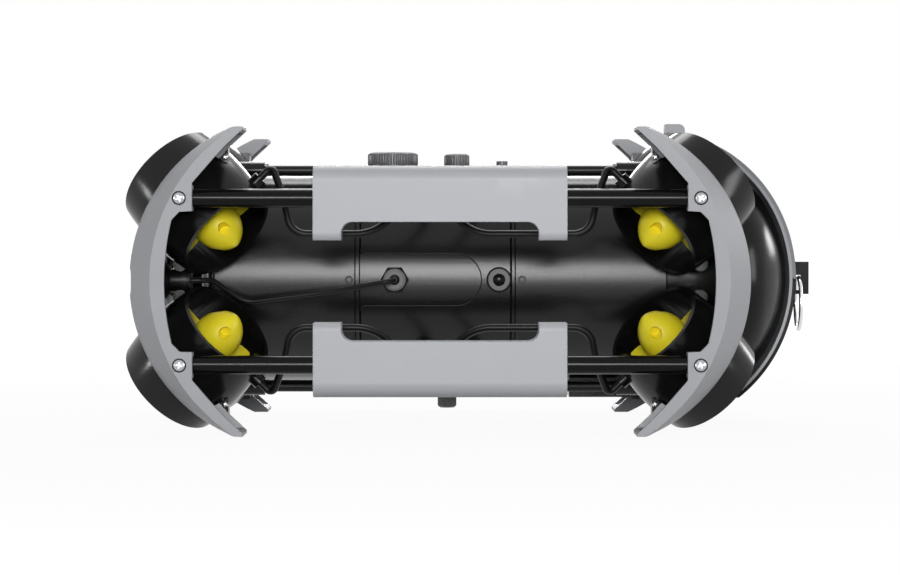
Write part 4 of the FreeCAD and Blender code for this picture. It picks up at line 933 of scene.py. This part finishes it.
class VEHICLE_OT_tail(bpy.types.Operator):
    """Models the tail bowl, its strap and liner, the latch and the tow ring"""
    bl_idname = "vehicle.tail"
    bl_label = "Tail"

    def execute(self, context):
        self.bowl()
        rounded("tail_strap", "strap_black", 0.35)
        self.strap_painted_highlight()
        rounded("strap_pad", "guard_grey", 0.3)
        rounded("latch_lever", "guard_grey", 0.8)
        self.tow_ring()
        return {"FINISHED"}

    def bowl(self):
        """The glossy bowl: a wall, a wide round corner and a shallow round back."""
        radius, corner, back, wall = 59.4, 30.0, 79.8, 3.0
        obj = spun("tail_bowl_finished", self.bowl_outline(-HULL_END, radius, corner, back), steps=160)
        inside = self.bowl_outline(-HULL_END - wall, radius - wall, corner - wall, back - wall)
        hollow = spun("tail_bowl_hollow", inside, steps=96)
        edit(hollow)
        bpy.ops.mesh.select_all(action="SELECT")
        bpy.ops.mesh.flip_normals()
        leave_edit()
        obj = joined([obj, hollow], "tail_bowl_finished")
        moved(obj, at(0, 0, 0))
        smooth(obj, 30.0)
        settle(obj, ROOT, "gloss_black", ["tail_bowl"])

    def strap_painted_highlight(self):
        """A thin pale strip on both side faces of the strap, over its upper half only: a painted highlight
        where the top light catches those faces. It ends above its foot.
        """
        sideways = 0.6
        thickness = 0.25
        obj = merged_copy("tail_strap", "strap_painted_highlight")
        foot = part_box("tail_strap")[0].x + 6.0 * MM
        edit(obj)
        bpy.ops.mesh.select_all(action="DESELECT")
        bpy.ops.mesh.select_mode(type="FACE")
        leave_edit()
        # Only side faces above the hull axis keep the painted highlight; those on the lower half are cut away.
        for face in obj.data.polygons:
            face.select = abs(face.normal.y) < sideways or face.center.x < foot or face.center.z < AXIS_Z
        edit(obj)
        bpy.ops.mesh.delete(type="FACE")
        bpy.ops.mesh.select_mode(type="VERT")
        leave_edit()
        modify(obj, "SOLIDIFY", thickness=thickness * MM, offset=1.0)
        smooth(obj, 30.0)
        # The pale guard_edge finish here carries the painted highlight on the strap's sides.
        settle(obj, body_of_node("tail_strap"), "guard_edge")

    def bowl_outline(self, start, radius, corner, back):
        """A straight rim, a round corner and a shallow back that is round about a point on the axis."""
        back_centre = -117.6
        corner_height = radius - corner
        corner_x = back_centre - math.sqrt((back - corner) ** 2 - corner_height ** 2)
        meet = math.degrees(math.atan2(corner_height, corner_x - back_centre))
        outline = [(start, 0), (start, radius)]
        outline += curve_points((corner_x, corner_height), corner, 90.0, meet, 20)
        outline += curve_points((back_centre, 0.0), back, meet, 180.0, 28)[1:]
        return outline + [(start, 0)]

    def tow_ring(self):
        """The steel ring in its place, as a smooth round wire."""
        low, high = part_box("tow_ring")
        wire = (high.x - low.x) / 2
        middle = (low + high) / 2
        deselect()
        bpy.ops.mesh.primitive_torus_add(
            major_segments=128, minor_segments=20, major_radius=(high.y - low.y) / 2 - wire,
            minor_radius=wire, location=middle, rotation=(0, math.radians(90), 0))
        ring = bpy.context.object
        ring.name = "tow_ring_finished"
        bpy.ops.object.transform_apply(location=True, rotation=True, scale=True)
        smooth(ring, 60.0)
        settle(ring, body_of_node("tow_ring"), "bright_steel", ["tow_ring"])


class VEHICLE_OT_fittings(bpy.types.Operator):
    """Finishes the caps, plugs, glands and the thruster and lamp cables"""
    bl_idname = "vehicle.fittings"
    bl_label = "Fittings"

    def execute(self, context):
        self.knurled("large_cap", 58, 0.5)
        self.knurled("small_cap", 32, 0.4)
        self.knurled("bottom_knob", 24, 0.4)
        rounded("vent_plug", "cap_black", 0.3)
        rounded("side_glands", "seam_black", 0.6, segments=3)
        rounded("side_plugs", "seam_black", 0.3)
        self.side_faces()
        rounded("thruster_cables", "cable_black", 0)
        rounded("lamp_cables", "cable_black", 0)
        return {"FINISHED"}

    def knurled(self, node, ribs, rib_radius):
        """A turned cap with a well in its face and fine upright ribs round its grip."""
        low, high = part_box(node)
        radius = (high.x - low.x) / 2 / MM
        up = 1 if high.z > AXIS_Z else -1
        height = (high.z - low.z) / MM
        foot = low.z if up > 0 else high.z
        body = radius - rib_radius * 0.8
        chamfer = 0.8
        well_depth = 1.2
        well_radius = radius * 0.62
        outline = [
            (0, 0), (0, body), (height - chamfer, body), (height - 0.15, body - chamfer),
            (height, body - chamfer - 0.3), (height, radius * 0.64), (height - 0.3, well_radius),
            (height - 1.1, well_radius), (height - well_depth, radius * 0.6), (height - well_depth, 0), (0, 0),
        ]
        upright = Matrix.Rotation(math.radians(-90 * up), 4, "Y")
        axis = Matrix.Translation(((low.x + high.x) / 2, 0, foot)) @ upright
        parts = [moved(spun("cap", outline, steps=120), axis)]
        length = min(7.0, height * 0.55)
        tip = rib_radius * 0.6
        rib_outline = [
            (0, 0), (0, tip), (0.4, rib_radius), (length - 0.4, rib_radius), (length, tip), (length, 0),
        ]
        rib = spun("rib", rib_outline, steps=8)
        shift = Matrix.Translation(((height - chamfer - length - 0.2) * MM, 0, (radius - rib_radius) * MM))
        for step in range(ribs):
            parts.append(twin(rib, "rib", axis @ turned(360.0 * step / ribs) @ shift))
        bpy.data.objects.remove(rib)
        obj = joined(parts, node + "_finished")
        smooth(obj, 35.0)
        settle(obj, body_of_node(node), "cap_black", [node])

    def side_faces(self):
        """The grey faces on the glands and plugs, the cable boots and the plugs' round centres."""
        gland_seat = 57.7
        nut = gland_seat + 5.0
        plug = HULL_RADIUS + 1.6
        button = plug + 1.05
        nut_outline = [
            (nut - 0.3, 0), (nut - 0.3, 6.2), (nut + 0.15, 6.2), (nut + 0.3, 6.0),
            (nut + 0.3, 5.45), (nut + 2.3, 5.4), (nut + 2.5, 5.2), (nut + 2.5, 0),
        ]
        plug_outline = [
            (plug - 0.4, 0), (plug - 0.4, 6.1), (plug + 0.1, 6.1), (plug + 0.25, 5.9), (plug + 0.25, 0),
        ]
        boot_outline = [
            (nut + 2.3, 0), (nut + 2.3, 2.9), (nut + 2.8, 2.9), (nut + 3.6, 2.5),
            (nut + 4.6, 1.9), (nut + 5.2, 1.6), (nut + 5.2, 0),
        ]
        button_outline = [(plug, 0), (plug, 3.5), (button, 3.5)] + dome_points(button, 3.3, 0.9)
        faces = []
        boots = []
        for side in (1, -1):
            faces.append(self.disc(GLAND_X, side, nut_outline))
            faces.append(self.disc(PLUG_X, side, plug_outline))
            boots.append(self.disc(GLAND_X, side, boot_outline))
            boots.append(self.disc(PLUG_X, side, button_outline))
        for parts, name, finish, slot in (
                (faces, "side_faces", "face_grey", "cap_black"), (boots, "cable_boots", "gloss_black", None)):
            obj = joined(parts, name)
            smooth(obj, 30.0)
            settle(obj, ROOT, finish)

    def disc(self, x, side, outline):
        """A turned piece that looks out of the hull's side."""
        return moved(spun("disc", outline, steps=64), at(x, 0, 0) @ outwards(side))


class VEHICLE_OT_lamps(bpy.types.Operator):
    """Models the lamps with their cooling rings, mirrors, light chips and lenses"""
    bl_idname = "vehicle.lamps"
    bl_label = "Lamps"

    def execute(self, context):
        rounded("lamp_housings", "rod_black", 0.4)
        first_ring, ring_pitch, ring_count = 153.0, 2.6, 4
        chip_x, chip_pitch = 165.9, 2.0
        cup = [(165.6, 0), (165.7, 4.5), (166.9, 8.9), (165.5, 8.9), (165.5, 0)]
        rings = []
        mirrors = []
        chips = []
        lenses = []
        for side in (1, -1):
            centre = at(0, side * LAMP_Y, 0)
            for count in range(ring_count):
                ring = spun("ring", self.ring_outline(first_ring + ring_pitch * count), steps=64)
                rings.append(moved(ring, centre))
            mirrors.append(moved(spun("mirror", cup, steps=64), centre))
            lenses.append(moved(spun("lens", self.ridged_lens(), steps=64), centre))
            for row in (-1, 0, 1):
                for column in (-1, 0, 1):
                    chips.append(self.chip(chip_x, side * LAMP_Y + chip_pitch * row, chip_pitch * column))
        for parts, name, finish, slot, nodes in (
                (rings, "lamp_rings", "cap_black", None, ()),
                (mirrors, "lamp_mirrors", "lamp_mirror", "bright_steel", ()),
                (chips, "lamp_chips", "lamp_chip", "propeller_yellow", ()),
                (lenses, "lamp_lenses_finished", "dome_glass", None, ("lamp_lenses",))):
            obj = joined(parts, name)
            smooth(obj, 30.0)
            settle(obj, ROOT, finish, nodes)
        return {"FINISHED"}

    def ring_outline(self, start):
        """One cooling ring with rounded edges."""
        inner, edge, outer = 11.2, 12.0, 12.3
        return [
            (start, inner), (start, edge), (start + 0.3, outer), (start + 1.0, outer),
            (start + 1.3, edge), (start + 1.3, inner), (start, inner),
        ]

    def ridged_lens(self):
        """A flat lens with stepped rings on its inner side."""
        face, back, radius = 168.0, 167.0, 9.0
        outline = [(face, 0), (face, radius - 0.3), (face - 0.3, radius), (back, radius)]
        for count in range(5):
            outer = 8.6 - 1.6 * count
            outline += [(back, outer), (back - 0.2, outer - 0.9)]
        return outline + [(back - 0.1, 0)]

    def chip(self, x, y, z):
        """One square light chip."""
        depth, side = 0.5 * MM, 1.5 * MM
        deselect()
        bpy.ops.mesh.primitive_cube_add(size=1.0, location=place(x, y, z), scale=(depth, side, side))
        obj = bpy.context.object
        bpy.ops.object.transform_apply(location=True, rotation=True, scale=True)
        return modify(obj, "BEVEL", width=0.15 * MM, segments=2)


class VEHICLE_PT_panel(bpy.types.Panel):
    """Lists the sizes and the steps of the dressed vehicle"""
    bl_idname = "VEHICLE_PT_panel"
    bl_label = "Underwater Vehicle"
    bl_space_type = "VIEW_3D"
    bl_region_type = "UI"
    bl_category = "Vehicle"

    def draw(self, context):
        layout = self.layout
        for name in VehicleSizes.__annotations__:
            layout.prop(context.scene.vehicle_sizes, name)
        for step in STEPS:
            layout.operator(step.bl_idname)


STEPS = (
    VEHICLE_OT_stage, VEHICLE_OT_hull, VEHICLE_OT_camera_end, VEHICLE_OT_guards, VEHICLE_OT_rail_screws,
    VEHICLE_OT_rails, VEHICLE_OT_grips, VEHICLE_OT_thrusters, VEHICLE_OT_frames, VEHICLE_OT_tail,
    VEHICLE_OT_fittings, VEHICLE_OT_lamps,
)


def register():
    bpy.utils.register_class(VehicleSizes)
    bpy.types.Scene.vehicle_sizes = PointerProperty(type=VehicleSizes)
    for step in STEPS:
        bpy.utils.register_class(step)
    bpy.utils.register_class(VEHICLE_PT_panel)


def unregister():
    bpy.utils.unregister_class(VEHICLE_PT_panel)
    for step in reversed(STEPS):
        bpy.utils.unregister_class(step)
    del bpy.types.Scene.vehicle_sizes
    bpy.utils.unregister_class(VehicleSizes)


def main():
    register()
    make_finishes(sizes())
    for step in STEPS:
        family, action = step.bl_idname.split(".")
        getattr(getattr(bpy.ops, family), action)()


if __name__ == "__main__":
    main()
